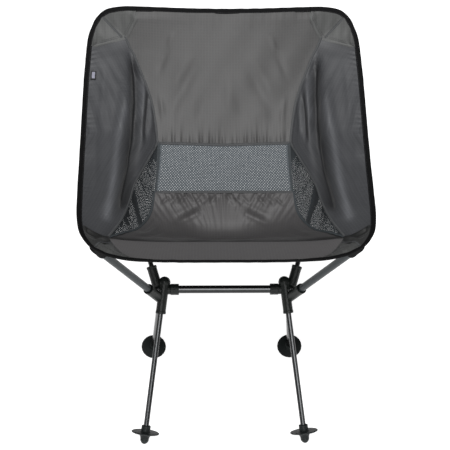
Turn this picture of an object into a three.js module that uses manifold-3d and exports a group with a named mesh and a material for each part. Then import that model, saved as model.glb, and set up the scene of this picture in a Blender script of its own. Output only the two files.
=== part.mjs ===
// Ultralight backpacking chair: two moulded hubs on a crossbar carry four legs, two front
// arms and two jointed back poles, and a sewn sling hangs from the four pole ends by its
// corner pockets. Millimetres, +Z up, the sitter faces -Y. The origin is on the ground under
// the middle of the chair's outline.
import * as THREE from 'three';
import * as BufferGeometryUtils from 'three/addons/utils/BufferGeometryUtils.js';
import Module from 'manifold-3d';

const wasm = await Module();
wasm.setup();

// ---------------------------------------------------------------- driving dimensions
const GROUND = 2.1;          // the points below are measured from a plane this far under the floor
const CENTRE_Y = 26.10;      // and this far in front of the middle of the outline

const HUB = [112, 0, 248.5];         // centre of a hub's core, right side
const CORE_R = 12.6;
const CROSSBAR_R = 6.9, CROSSBAR_WALL = 1.0, CROSSBAR_END = 99;
const BAR_SOCKET_R = 9.9, BAR_SOCKET_MOUTH = 80.5, BAR_COLLAR = [95.5, 101];

const LEG_R = 4.7, LEG_WALL = 0.8;
const LEG_SOCKET_R = 8.7, LEG_SOCKET_LEN = 41, LEG_SEAT = 13;   // socket length and where the leg stops, from its root
const FRONT_LEG_ROOT = [107.5, -4, 248.5], FRONT_FOOT = [139.7, -105.5, 21.0];
const REAR_LEG_ROOT = [112, 4, 246.5], REAR_FOOT = [138, 193.3, 19.2];
const LEG_TRAVEL = 30;               // pull needed to bring a leg out of its socket

const ARM_R = 6.3, ARM_WALL = 0.9, ARM_ROOT = [112, -3, 231], ARM_TIP = [205.8, -170, 410];
const ARM_SOCKET_R = 8.8, ARM_SOCKET_LEN = 57, ARM_SEAT = 23;

const POLE_R = 4.4, POLE_WALL = 0.8, POLE_ROOT = [119.5, 4, 256], POLE_DIR = [0.288, 0.468, 0.835];
const POLE_TIP = [210.4, 239.2, 665.7];
const POLE_SOCKET_R = 8.7, POLE_SOCKET_LEN = 34, POLE_SEAT = 8;
const POLE_SPLIT = 0.5, FERRULE_R = 3.3, FERRULE_HALF = 26;

const FOOT_R = 24.9;
const CLEAR = 0.3;                   // running gap between a tube and its socket
const CORD_R = 1.25;

const TAPE_W = 9.5, TAPE_T = 2.4;    // edge tape
const CLOTH_T = 1.4;                 // panel thickness
const SEAM_GAP = 0.6, TAPE_GAP = 0.45;

// Sling edge, right half, from the middle of the top edge round to the middle of the front edge.
const EDGE = [
  [0, 222, 698.4], [62.7, 223, 699.1], [116.7, 226, 700.3], [156.6, 229.3, 701], [176.3, 231, 700.9], [194.6, 233, 698.9],
  [210, 235, 694.9], [218.8, 235.5, 689.8], [225.3, 235, 684.5], [233.1, 232, 674.2], [240.2, 225, 659.4], [243.5, 217, 650.3],
  [245.6, 200.7, 634.9], [246.6, 180, 615.5], [247.8, 158, 593.9], [248.1, 135, 573], [247.9, 110, 553.1], [247.8, 86, 533.3],
  [247.2, 60, 514.7], [246.7, 33, 496.9], [246.1, 7, 479.3], [245, -25, 464.5], [242.8, -60, 451.7], [240, -98, 441.1],
  [235.1, -132.5, 433.4], [229.9, -156, 429.9], [223.5, -172, 426.9], [215.1, -186, 423.2], [206.4, -191, 417.1], [197, -192, 411.1],
  [185.9, -191, 404.9], [165.9, -188, 397.7], [148, -183.7, 392.4], [116.2, -178, 388.2], [62.2, -172, 384.3], [0, -170, 383.3]];
const I_TOP = 3, I_SIDE = 12, I_LOW = 24, I_FRONT = 32;   // where the corner pieces begin and end

// Middle line of the back panel, and of the seat panel from the mesh down to the front edge.
const BACK_MID = [[0, 217.8, 689.5], [0, 194, 639.3], [0, 163, 574.3], [0, 134, 518.2], [0, 113, 478.4]];
const MESH_MID = [[0, 113, 478.4], [0, 98, 440.4], [0, 83, 400.4]];
const SEAT_MID = [[0, 83, 400.4], [0, 68, 368], [0, 57, 349], [0, 45, 338], [0, 30, 333.4], [0, -4, 346], [0, -50, 365.7], [0, -110, 376], [0, -160.1, 382.1]];
// Corner seam of the top pocket patch, then the seam between the back panel and the wing.
const TOP_ARC_IN = [[158.5, 219.5, 681.5], [163, 218.5, 673], [169.5, 216.5, 660.5], [177, 215, 648.5]];   // down to the seam
const TOP_ARC_OUT = [[177, 215, 648.5], [198, 211, 643.5], [219, 206.5, 640.5]];                            // and out to the side
const SEAM_UP = [[177, 215, 648.5], [168.8, 207, 630.7], [161.4, 200, 619.4], [154.9, 192, 605.5], [145.7, 180, 585.3], [137.3, 168, 567.4],
  [128, 151, 540.8], [123.2, 136, 517.6], [120.2, 123, 499.4], [118.1, 111, 482.8]];
const SEAM_MESH = [[118.1, 111, 482.8], [120.3, 99, 445.7], [124.8, 83, 400.4]];
const SEAM_SEAT = [[124.8, 83, 400.4], [129, 55, 377.3], [137, 26, 370.4], [152, -30, 377], [168.6, -80, 393.7], [189.4, -118, 402.7]];
const SEAM_WING = [[118.1, 111, 482.8], [136.3, 70, 460], [154.5, 13, 440.9], [160.5, -25, 427.5], [170.6, -75, 415.5], [189.4, -118, 402.7]];
const LOW_ARC_OUT = [[189.4, -118, 402.7], [200.3, -128, 411], [211.5, -130.5, 421.5]];
const LOW_ARC_IN = [[189.4, -118, 402.7], [182.5, -130, 397.5], [165.5, -156, 392.5]];
// How far each cloth stands off the straight line between its seams.
const WING_CROWN = 13, WING_CROWN_DIR = [-0.33, -0.72, 0.61];
const GUSSET_SAG = 4;
const TENT = 5.5;            // lift of the front corner over the arm's end

// ---------------------------------------------------------------- materials
const mat = (color, roughness, metalness) => new THREE.MeshStandardMaterial({ color, roughness, metalness });
const anodised = () => mat(0x2a2c2d, 0.35, 0.9);
const armGrey = () => mat(0x5a6064, 0.4, 0.85);
const moulded = () => mat(0x1c1f1e, 0.6, 0);
const ripstop = () => mat(0x55575a, 0.85, 0);
const netting = () => mat(0x6d747c, 0.9, 0);
const tape = () => mat(0x0d0d0e, 0.85, 0);
const elastic = () => mat(0x222222, 0.9, 0);
const steel = () => mat(0x8d8f91, 0.35, 1);

// ---------------------------------------------------------------- helpers
const V = (a) => new THREE.Vector3(a[0], a[1], a[2]);
const part = new THREE.Group();
const body = new THREE.Group();
body.position.set(0, -CENTRE_Y, -GROUND);
part.add(body);

function add(name, geometry, material) {
  const mesh = new THREE.Mesh(geometry, material);
  mesh.name = name;
  body.add(mesh);
  return mesh;
}

function bare(geometry) {
  const g = geometry.clone();
  g.deleteAttribute('normal');
  g.deleteAttribute('uv');
  return BufferGeometryUtils.mergeVertices(g, 1e-4);
}
function solid(geometry) {
  const g = bare(geometry);
  return new wasm.Manifold(new wasm.Mesh({
    numProp: 3,
    vertProperties: new Float32Array(g.attributes.position.array),
    triVerts: new Uint32Array(g.index.array),
  }));
}
function fromSolid(m) {
  const out = m.getMesh();
  const g = new THREE.BufferGeometry();
  g.setAttribute('position', new THREE.BufferAttribute(new Float32Array(out.vertProperties), 3));
  g.setIndex(new THREE.BufferAttribute(new Uint32Array(out.triVerts), 1));
  return g;
}

// Turned shape along a line: profile is [radius, distance from start] pairs.
function turned(profile, start, dir, sides) {
  const pts = profile.map(([r, u]) => new THREE.Vector2(r, u));
  const g = new THREE.LatheGeometry(pts, sides);
  const q = new THREE.Quaternion().setFromUnitVectors(new THREE.Vector3(0, 1, 0), dir.clone().normalize());
  g.applyQuaternion(q);
  g.translate(start.x, start.y, start.z);
  return bare(g);
}
const rod = (r, a, b, sides = 16) => turned([[0, 0], [r, 0], [r, a.distanceTo(b)], [0, a.distanceTo(b)]], a, b.clone().sub(a), sides);
function pipe(r, wall, a, b, sides = 16) {
  const L = a.distanceTo(b);
  return turned([[r - wall, 0], [r, 0], [r, L], [r - wall, L], [r - wall, 0]], a, b.clone().sub(a), sides);
}

// Points of a smooth curve through ctrl, between control points i0 and i1.
function dense(ctrl, i0 = 0, i1 = ctrl.length - 1, n = 240) {
  const c = new THREE.CatmullRomCurve3(ctrl.map(V), false, 'centripetal');
  const out = [];
  for (let k = 0; k <= n; k++) out.push(c.getPoint(Math.min(1, (i0 + ((i1 - i0) * k) / n) / (ctrl.length - 1))));
  return out;
}
// The same curve by its length: s runs from 0 to 1.
function byLength(pts) {
  const cum = [0];
  for (let i = 1; i < pts.length; i++) cum.push(cum[i - 1] + pts[i].distanceTo(pts[i - 1]));
  const total = cum[cum.length - 1];
  return (s) => {
    const want = Math.max(0, Math.min(1, s)) * total;
    let lo = 0, hi = cum.length - 1;
    while (hi - lo > 1) { const m = (lo + hi) >> 1; if (cum[m] <= want) lo = m; else hi = m; }
    return pts[lo].clone().lerp(pts[hi], (want - cum[lo]) / Math.max(1e-9, cum[hi] - cum[lo]));
  };
}
// The curve by its control points, evenly, so that two curves pair up point by point.
const byIndex = (ctrl) => {
  const c = new THREE.CatmullRomCurve3(ctrl.map(V), false, 'centripetal');
  return (s) => c.getPoint(Math.max(0, Math.min(1, s)));
};

const mirror = (p) => new THREE.Vector3(-p.x, p.y, p.z);

// Closed thin solid round a grid of points, half of t on each side.
function shell(grid, t) {
  const n = grid.length, m = grid[0].length, h = t / 2;
  const top = [], low = [];
  for (let i = 0; i < n; i++) for (let j = 0; j < m; j++) {
    const a = grid[Math.min(i + 1, n - 1)][j].clone().sub(grid[Math.max(i - 1, 0)][j]);
    const b = grid[i][Math.min(j + 1, m - 1)].clone().sub(grid[i][Math.max(j - 1, 0)]);
    const nn = a.cross(b).normalize();
    top.push(grid[i][j].clone().addScaledVector(nn, h));
    low.push(grid[i][j].clone().addScaledVector(nn, -h));
  }
  const pos = [...top, ...low].flatMap((p) => [p.x, p.y, p.z]);
  const T = (i, j) => i * m + j, B = (i, j) => n * m + i * m + j, idx = [];
  for (let i = 0; i < n - 1; i++) for (let j = 0; j < m - 1; j++) {
    idx.push(T(i, j), T(i + 1, j), T(i + 1, j + 1), T(i, j), T(i + 1, j + 1), T(i, j + 1));
    idx.push(B(i, j), B(i + 1, j + 1), B(i + 1, j), B(i, j), B(i, j + 1), B(i + 1, j + 1));
  }
  for (let i = 0; i < n - 1; i++) {
    idx.push(T(i, 0), B(i, 0), B(i + 1, 0), T(i, 0), B(i + 1, 0), T(i + 1, 0));
    idx.push(T(i, m - 1), B(i + 1, m - 1), B(i, m - 1), T(i, m - 1), T(i + 1, m - 1), B(i + 1, m - 1));
  }
  for (let j = 0; j < m - 1; j++) {
    idx.push(T(0, j), B(0, j + 1), B(0, j), T(0, j), T(0, j + 1), B(0, j + 1));
    idx.push(T(n - 1, j), B(n - 1, j), B(n - 1, j + 1), T(n - 1, j), B(n - 1, j + 1), T(n - 1, j + 1));
  }
  const g = new THREE.BufferGeometry();
  g.setAttribute('position', new THREE.BufferAttribute(new Float32Array(pos), 3));
  g.setIndex(idx);
  return outward(g);
}
// Turns the faces round if the volume comes out negative.
function outward(g) {
  const p = g.attributes.position, ix = g.index.array;
  let vol = 0;
  const a = new THREE.Vector3(), b = new THREE.Vector3(), c = new THREE.Vector3();
  for (let k = 0; k < ix.length; k += 3) {
    a.fromBufferAttribute(p, ix[k]); b.fromBufferAttribute(p, ix[k + 1]); c.fromBufferAttribute(p, ix[k + 2]);
    vol += a.dot(b.cross(c));
  }
  if (vol < 0) {
    const r = Array.from(ix);
    for (let k = 0; k < r.length; k += 3) [r[k + 1], r[k + 2]] = [r[k + 2], r[k + 1]];
    g.setIndex(r);
  }
  return g;
}
// Grid of a patch P(s, t), pulled in from its four sides by the given lengths.
function gridOf(P, ns, nt, inset = {}) {
  const { s0 = SEAM_GAP, s1 = SEAM_GAP, t0 = SEAM_GAP, t1 = SEAM_GAP, sLo = 0, sHi = 1 } = inset;
  const rows = [];
  for (let i = 0; i <= ns; i++) {
    const row = [];
    for (let j = 0; j <= nt; j++) {
      const tt = j / nt;
      let Ls = 0;
      for (let k = 0; k < 8; k++) Ls += P(sLo + ((sHi - sLo) * (k + 1)) / 8, tt).distanceTo(P(sLo + ((sHi - sLo) * k) / 8, tt));
      const a = sLo + ((sHi - sLo) * s0) / Ls, b = sHi - ((sHi - sLo) * s1) / Ls;
      const s = a + ((b - a) * i) / ns;
      let Lt = 0;
      for (let k = 0; k < 8; k++) Lt += P(s, (k + 1) / 8).distanceTo(P(s, k / 8));
      row.push(P(s, t0 / Lt + (1 - (t0 + t1) / Lt) * tt));
    }
    rows.push(row);
  }
  return rows;
}
const flip = (grid) => grid.map((r) => r.map(mirror));

// ---------------------------------------------------------------- sling surfaces
const edgeRun = (i0, i1) => byLength(dense(EDGE, i0, i1));
const topEdge = edgeRun(0, I_TOP), topCorner = edgeRun(I_TOP, I_SIDE), sideEdge = edgeRun(I_SIDE, I_LOW),
  lowCorner = edgeRun(I_LOW, I_FRONT), frontEdge = edgeRun(I_FRONT, EDGE.length - 1);
const M = V(SEAM_UP[0]), G = V(SEAM_SEAT[SEAM_SEAT.length - 1]);
const wingIn = byLength(dense([...SEAM_UP, ...SEAM_WING.slice(1)]));

// Inward direction of the edge tape at a point of a run, square to the run.
function inward(run, s, target) {
  const e = 0.01, tan = run(Math.min(1, s + e)).sub(run(Math.max(0, s - e))).normalize();
  const w = target.clone().sub(run(s));
  return w.addScaledVector(tan, -w.dot(tan)).normalize();
}
const backDown = new THREE.Vector3(0, -0.427, -0.904), seatBack = new THREE.Vector3(0, 0.985, -0.17);
const wTop = (s) => { const p = topEdge(s); return inward(topEdge, s, s < 0.75 ? p.clone().add(backDown) : p.clone().add(backDown).lerp(p.clone().add(M.clone().sub(p).normalize()), (s - 0.75) * 4)); };
const wTopCorner = (s) => inward(topCorner, s, M);
const wSide = (s) => {
  const k = Math.min(1, s * 8, (1 - s) * 8), p = sideEdge(s);
  const near = s < 0.5 ? M : G;
  const d = wingIn(s).sub(p).normalize().multiplyScalar(k).addScaledVector(near.clone().sub(p).normalize(), 1 - k);
  return inward(sideEdge, s, p.clone().add(d));
};
const wLowCorner = (s) => inward(lowCorner, s, G);
const wFront = (s) => { const p = frontEdge(s); return inward(frontEdge, s, s > 0.25 ? p.clone().add(seatBack) : p.clone().add(G.clone().sub(p).normalize()).lerp(p.clone().add(seatBack), s * 4)); };
const IN = TAPE_W + TAPE_GAP;
const topIn = (s) => topEdge(s).addScaledVector(wTop(s), IN);
const topCornerIn = (s) => topCorner(s).addScaledVector(wTopCorner(s), IN);
const sideIn = (s) => sideEdge(s).addScaledVector(wSide(s), IN);
const lowCornerIn = (s) => lowCorner(s).addScaledVector(wLowCorner(s), IN);
const frontIn = (s) => frontEdge(s).addScaledVector(wFront(s), IN);

const arr = (p) => [p.x, p.y, p.z];
const A = topIn(1), B = sideIn(0), C = sideIn(1), E = frontIn(0);

// Back panel: middle line to the patch seam and the wing seam.
const backMid = byLength(dense([arr(topIn(0)), ...BACK_MID.slice(1)]));
const backSide = byLength(dense([arr(A), ...TOP_ARC_IN, ...SEAM_UP.slice(1)]));
const firstRow = (t) => topIn(t);
function backPanel(s, t) {
  const k = Math.abs(t), c = backMid(s), r = backSide(s);
  const p = c.clone().lerp(r, k);
  p.y = c.y + (r.y - c.y) * k * k;
  const w = Math.max(0, 1 - s * 6);                     // the first rows follow the top edge
  if (w > 0) { const f = firstRow(k), q = c.clone().lerp(r, k); const c0 = backMid(0).lerp(backSide(0), k); p.add(f.sub(c0).multiplyScalar(w * w)); p.x = q.x; }
  if (t < 0) p.x = -p.x;
  return p;
}
const meshMid = byIndex(MESH_MID), meshSide = byIndex(SEAM_MESH);
function meshPanel(s, t) {
  const k = Math.abs(t), c = meshMid(s), r = meshSide(s);
  const p = c.clone().lerp(r, k);
  p.y = c.y + (r.y - c.y) * k * k;
  if (t < 0) p.x = -p.x;
  return p;
}
const SEAT_SIDE = [...SEAM_SEAT, ...LOW_ARC_IN.slice(1), arr(E)];
const seatMid = byIndex([...SEAT_MID.slice(0, -1), arr(frontIn(1))]), seatSide = byIndex(SEAT_SIDE);
function seatPanel(s, t) {
  const k = Math.abs(t), c = seatMid(s), r = seatSide(s);
  const p = new THREE.Vector3(r.x * k, c.y + (r.y - c.y) * k ** 2.1, c.z + (r.z - c.z) * k ** 2.1);
  const w = Math.max(0, 1 - (1 - s) * 5);               // the last rows follow the front edge
  if (w > 0) { const f = frontIn(1 - k); p.lerp(f, w * w); }
  if (t < 0) p.x = -p.x;
  return p;
}
const gussetIn = byLength([...dense(SEAM_MESH), ...dense(SEAM_SEAT).slice(1)]), gussetOut = byLength(dense(SEAM_WING));
function gusset(s, t) {
  const p = gussetIn(s).lerp(gussetOut(s), t);
  return p.addScaledVector(new THREE.Vector3(0.75, 0.35, -0.55), GUSSET_SAG * Math.sin(Math.PI * s) ** 1.6 * Math.sin(Math.PI * t));
}
const crown = V(WING_CROWN_DIR).normalize();
function wing(s, t) {
  const p = wingIn(s).lerp(sideIn(s), t);
  const a = Math.sin(Math.PI * Math.min(1, Math.max(0, s))) ** 0.8 * Math.sin(Math.PI * t ** 0.85);
  p.addScaledVector(crown, WING_CROWN * a);
  // the first and last rows follow the patch seams
  const top = Math.max(0, 1 - s * 7), low = Math.max(0, 1 - (1 - s) * 7);
  if (top > 0) p.add(topArcOut(t).sub(wingIn(0).lerp(sideIn(0), t)).multiplyScalar(top * top));
  if (low > 0) p.add(lowArcOut(t).sub(wingIn(1).lerp(sideIn(1), t)).multiplyScalar(low * low));
  return p;
}
const topArcOut = byLength(dense([...TOP_ARC_OUT.slice(0, -1), arr(B)]));
const lowArcOut = byLength(dense([...LOW_ARC_OUT.slice(0, -1), arr(C)]));
const topArc = byLength([...dense([arr(A), ...TOP_ARC_IN]), ...dense([...TOP_ARC_OUT.slice(0, -1), arr(B)]).slice(1)]);
const lowArc = byLength([...dense([...LOW_ARC_OUT.slice(0, -1), arr(C)]).reverse(), ...dense([...LOW_ARC_IN, arr(E)]).slice(1)]);
const topPatch = (s, t) => topArc(s).lerp(topCornerIn(s), t);
function lowPatch(s, t) {
  const p = lowArc(s).lerp(lowCornerIn(s), t);
  return p.addScaledVector(new THREE.Vector3(0.1, -0.2, 0.97).normalize(), TENT * Math.sin(Math.PI * s) ** 2 * Math.sin(Math.PI * Math.max(0, Math.min(1, t)) ** 1.6) ** 2);
}

add('back_panel', shell(gridOf((s, t) => backPanel(s, t * 2 - 1), 14, 16, { s0: 0, t0: 1, t1: 1 }), CLOTH_T), ripstop());
add('lumbar_mesh', shell(gridOf((s, t) => meshPanel(s, t * 2 - 1), 4, 12), CLOTH_T), netting());
add('seat_panel', shell(gridOf((s, t) => seatPanel(s, t * 2 - 1), 20, 18, { s1: 0, t0: 1, t1: 1 }), CLOTH_T), ripstop());
for (const [side, f] of [['right', (g) => g], ['left', flip]]) {
  add(`wing_${side}`, shell(f(gridOf(wing, 20, 7, { t0: 1, t1: 0 })), CLOTH_T), ripstop());
  add(`mesh_gusset_${side}`, shell(f(gridOf(gusset, 14, 3, { sLo: 0.05, sHi: 0.90, s0: 0, s1: 0, t0: 1.1, t1: 1 })), CLOTH_T), netting());
  add(`corner_patch_top_${side}`, shell(f(gridOf(topPatch, 10, 4, { sLo: 0.06, sHi: 0.94, s0: 0, s1: 0, t0: 1, t1: 0.4 })), CLOTH_T), ripstop());
  add(`corner_patch_front_${side}`, shell(f(gridOf(lowPatch, 12, 4, { sLo: 0.06, sHi: 0.94, s0: 0, s1: 0, t0: 1, t1: 1.6 })), CLOTH_T), ripstop());
}

// Edge tape: a flat bar along each run of the edge.
function tapeRun(run, w, s0, s1, n) {
  const ring = [];
  for (let i = 0; i <= n; i++) {
    const s = s0 + ((s1 - s0) * i) / n, p = run(s), d = w(s);
    const e = 0.01, tan = run(Math.min(1, s + e)).sub(run(Math.max(0, s - e))).normalize();
    const nn = tan.clone().cross(d).normalize();
    ring.push([[0.6, 0], [0, 0.5], [0, -0.5], [0.6, -0.99]].length && [
      p.clone().addScaledVector(nn, TAPE_T * 0.28),
      p.clone().addScaledVector(d, 1.0).addScaledVector(nn, TAPE_T / 2),
      p.clone().addScaledVector(d, TAPE_W).addScaledVector(nn, TAPE_T / 2),
      p.clone().addScaledVector(d, TAPE_W).addScaledVector(nn, -TAPE_T / 2),
      p.clone().addScaledVector(d, 1.0).addScaledVector(nn, -TAPE_T / 2),
      p.clone().addScaledVector(nn, -TAPE_T * 0.28)]);
  }
  return ring;
}
function loft(rings) {
  const k = rings[0].length, n = rings.length, pos = rings.flat().flatMap((p) => [p.x, p.y, p.z]), idx = [];
  for (let i = 0; i < n - 1; i++) for (let j = 0; j < k; j++) {
    const a = i * k + j, b = i * k + ((j + 1) % k), c = a + k, d = b + k;
    idx.push(a, b, d, a, d, c);
  }
  for (let j = 1; j < k - 1; j++) { idx.push(0, j + 1, j); idx.push((n - 1) * k, (n - 1) * k + j, (n - 1) * k + j + 1); }
  const g = new THREE.BufferGeometry();
  g.setAttribute('position', new THREE.BufferAttribute(new Float32Array(pos), 3));
  g.setIndex(idx);
  return outward(g);
}
const flipRings = (r) => r.map((x) => x.map(mirror));
{
  const g = 0.006;
  const right = tapeRun(topEdge, wTop, 0, 1 - g, 10), front = tapeRun(frontEdge, wFront, g, 1, 10);
  const whole = (half) => loft([...flipRings(half.slice(1)).reverse().map((r) => r), ...half]);
  add('edge_tape_top', whole(right), tape());
  add('edge_tape_front', whole([...front].reverse()), tape());
  for (const side of ['right', 'left']) {
    const f = side === 'left' ? flipRings : (x) => x;
    add(`edge_tape_side_${side}`, loft(f(tapeRun(sideEdge, wSide, g * 0.6, 1 - g * 0.6, 20))), tape());
    add(`edge_tape_corner_top_${side}`, loft(f(tapeRun(topCorner, wTopCorner, g, 1 - g, 12))), tape());
    add(`edge_tape_corner_front_${side}`, loft(f(tapeRun(lowCorner, wLowCorner, g, 1 - g, 12))), tape());
  }
}

// Blank woven loop label on the left side tape.
{
  const c = wing(0.152, 0.965), u = wing(0.182, 0.965).sub(wing(0.122, 0.965)).normalize();
  const v0 = wing(0.152, 0.9).sub(wing(0.152, 0.965)).normalize();
  const n = u.clone().cross(v0).normalize();
  if (n.y > 0) n.negate();
  const v = n.clone().cross(u).normalize();
  if (v.x > 0) v.negate();
  const g = new THREE.BoxGeometry(9.5, 17, 1.2, 2, 3, 1);
  g.applyMatrix4(new THREE.Matrix4().makeBasis(v, u, v.clone().cross(u)));
  const at = c.clone().addScaledVector(n, CLOTH_T / 2 + 0.6 + 0.5).addScaledVector(v, 3.6);
  g.translate(at.x, at.y, at.z);
  const b = bare(g);
  b.scale(-1, 1, 1);
  add('loop_label', outward(b), mat(0x777788, 0.9, 0));
}

// ---------------------------------------------------------------- hubs, bar, legs, arms and poles
const UP = new THREE.Vector3(0, 1, 0);
function frameSide(side) {
  const S = side === 'right' ? 1 : -1;
  const P = (a) => new THREE.Vector3(a[0] * S, a[1], a[2]);
  const dirOf = (a, b) => b.clone().sub(a).normalize();
  const hub = P(HUB);
  const fl = P(FRONT_LEG_ROOT), ff = P(FRONT_FOOT), fd = dirOf(fl, ff);
  const rl = P(REAR_LEG_ROOT), rf = P(REAR_FOOT), rd = dirOf(rl, rf);
  const ar = P(ARM_ROOT), at = P(ARM_TIP), ad = dirOf(ar, at);
  const pr = P(POLE_ROOT), pd = P(POLE_DIR).normalize(), pt = P(POLE_TIP);
  const inX = new THREE.Vector3(-S, 0, 0);
  const along = (p, d, t) => p.clone().addScaledVector(d, t);

  // hub: ball core with five sockets, each with a lip at its mouth
  const socket = (p, d, r, len, back) => turned([[0, -back - r * 0.55], [r * 0.5, -back - r * 0.45], [r * 0.86, -back - r * 0.12], [r, -back + r * 0.3],
    [r, len - 5], [r + 0.5, len - 4], [r + 0.5, len - 0.6], [r, len], [0, len]], p, d, 16);
  const core = new THREE.SphereGeometry(CORE_R, 16, 10);
  core.scale(1, 0.95, 1.05);
  core.translate(hub.x + 1.5 * S, hub.y - 1, hub.z - 3);
  let m = solid(core);
  m = m.add(solid(socket(fl, fd, LEG_SOCKET_R, LEG_SOCKET_LEN, 13)));
  m = m.add(solid(socket(rl, rd, LEG_SOCKET_R, LEG_SOCKET_LEN, 3)));
  m = m.add(solid(socket(ar, ad, ARM_SOCKET_R, ARM_SOCKET_LEN, 1)));
  m = m.add(solid(socket(pr, pd, POLE_SOCKET_R, POLE_SOCKET_LEN, 3)));
  const barRoot = new THREE.Vector3((HUB[0] + 4) * S, HUB[1], HUB[2]);
  const barLen = HUB[0] + 4 - BAR_SOCKET_MOUTH, c0 = HUB[0] + 4 - BAR_COLLAR[1], c1 = HUB[0] + 4 - BAR_COLLAR[0];
  m = m.add(solid(turned([[0, 0], [9.9, 0], [9.9, c0 - 1], [8.9, c0], [8.9, c1], [BAR_SOCKET_R, c1 + 0.8], [BAR_SOCKET_R, barLen - 0.6], [BAR_SOCKET_R - 0.5, barLen], [0, barLen]], barRoot, inX, 16)));
  // dome over the end of the leg socket
  const dome = new THREE.SphereGeometry(10.5, 16, 10);
  const dc = along(fl, fd, -15);
  dome.translate(dc.x, dc.y + 1, dc.z - 1);
  m = m.add(solid(dome));
  const bore = (p, d, r, from, to) => rod(r, along(p, d, from), along(p, d, to), 16);
  m = m.subtract(solid(bore(fl, fd, LEG_R + CLEAR, LEG_SEAT - 0.6, LEG_SOCKET_LEN + 5)));
  m = m.subtract(solid(bore(rl, rd, LEG_R + CLEAR, LEG_SEAT - 0.6, LEG_SOCKET_LEN + 5)));
  m = m.subtract(solid(bore(ar, ad, ARM_R + CLEAR, ARM_SEAT - 0.6, ARM_SOCKET_LEN + 5)));
  m = m.subtract(solid(bore(pr, pd, POLE_R + CLEAR + 0.45, POLE_SEAT - 0.6, POLE_SOCKET_LEN + 5)));
  m = m.subtract(solid(rod(CROSSBAR_R + CLEAR, new THREE.Vector3((CROSSBAR_END + 0.6) * S, HUB[1], HUB[2]), new THREE.Vector3((BAR_SOCKET_MOUTH - 6) * S, HUB[1], HUB[2]), 20)));
  // screw that closes the hub, on its front
  const sd = new THREE.Vector3(0.30 * S, -0.72, 0.62).normalize();
  const sc = new THREE.Vector3(hub.x + 1.5 * S, hub.y - 1, hub.z - 3);
  m = m.subtract(solid(rod(2.9, along(sc, sd, CORE_R - 1.6), along(sc, sd, CORE_R + 8), 14)));
  add(`hub_${side}`, fromSolid(m), moulded());
  let screw = solid(turned([[0, 0], [2.5, 0], [2.5, 1.1], [1.7, 1.7], [0, 1.9]], along(sc, sd, CORE_R - 1.3), sd, 14));
  const slot = new THREE.BoxGeometry(6, 0.8, 0.7);
  slot.applyQuaternion(new THREE.Quaternion().setFromUnitVectors(new THREE.Vector3(0, 0, 1), sd));
  const sp = along(sc, sd, CORE_R - 1.3 + 1.9);
  slot.translate(sp.x, sp.y, sp.z);
  screw = screw.subtract(solid(slot));
  add(`hub_screw_${side}`, fromSolid(screw), steel());

  // legs and feet
  for (const [which, root, foot, d] of [['front', fl, ff, fd], ['rear', rl, rf, rd]]) {
    add(`${which}_leg_${side}`, pipe(LEG_R, LEG_WALL, along(root, d, LEG_SEAT), along(foot, d, 8), 16), anodised());
    const r0 = LEG_R + CLEAR;
    const shape = turned([[0, 8.6], [r0, 8.6], [r0, -12], [7.4, -12], [8.1, -11.2], [8.1, -2.6], [9.2, -1.5], [15, -1.3], [FOOT_R - 1.4, -1.1], [FOOT_R - 0.3, -0.5], [FOOT_R, 0.2],
      [FOOT_R - 0.6, 1.0], [16.5, 2.2], [12, 3.6], [9.4, 5.8], [8.2, 8.4], [7.6, 11.4], [7.5, 14.6], [5, 18.5], [2.2, 20.3], [0, 20.6]], foot, d, 20);
    add(`${which}_foot_${side}`, fromSolid(solid(shape).trimByPlane([0, 0, 1], GROUND)), mat(0x202224, 0.75, 0));   // tip worn flat on the floor
    add(`shock_cord_${which}_leg_${side}`, rod(CORD_R, along(root, d, LEG_SEAT - 0.3), along(root, d, LEG_SEAT + 118), 8), elastic());
  }
  // front arm with its tip cap, and the pocket over it
  const capL = 15;
  add(`front_arm_${side}`, pipe(ARM_R, ARM_WALL, along(ar, ad, ARM_SEAT), along(at, ad, -3), 16), armGrey());
  const cup = (rIn, rOut, len, wall) => [[rIn, -len], [rOut, -len], [rOut, -4], [rOut * 0.82, 0.4], [rOut * 0.45, wall + 0.9], [0, wall + 1.6], [0, 1.3], [rIn * 0.45, 0.9], [rIn * 0.84, -1.0], [rIn, -4.4], [rIn, -len]];
  add(`arm_tip_${side}`, turned([[0, -2.6], [ARM_R + CLEAR, -2.6], [ARM_R + CLEAR, -capL], [7.15, -capL], [7.15, -4.4], [6.0, -1.2], [3.2, 0], [0, 0.2]], at, ad, 16), moulded());
  add(`corner_pocket_front_${side}`, turned(cup(7.55, 8.5, 30, 0.5), at, ad, 16), tape());

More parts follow.
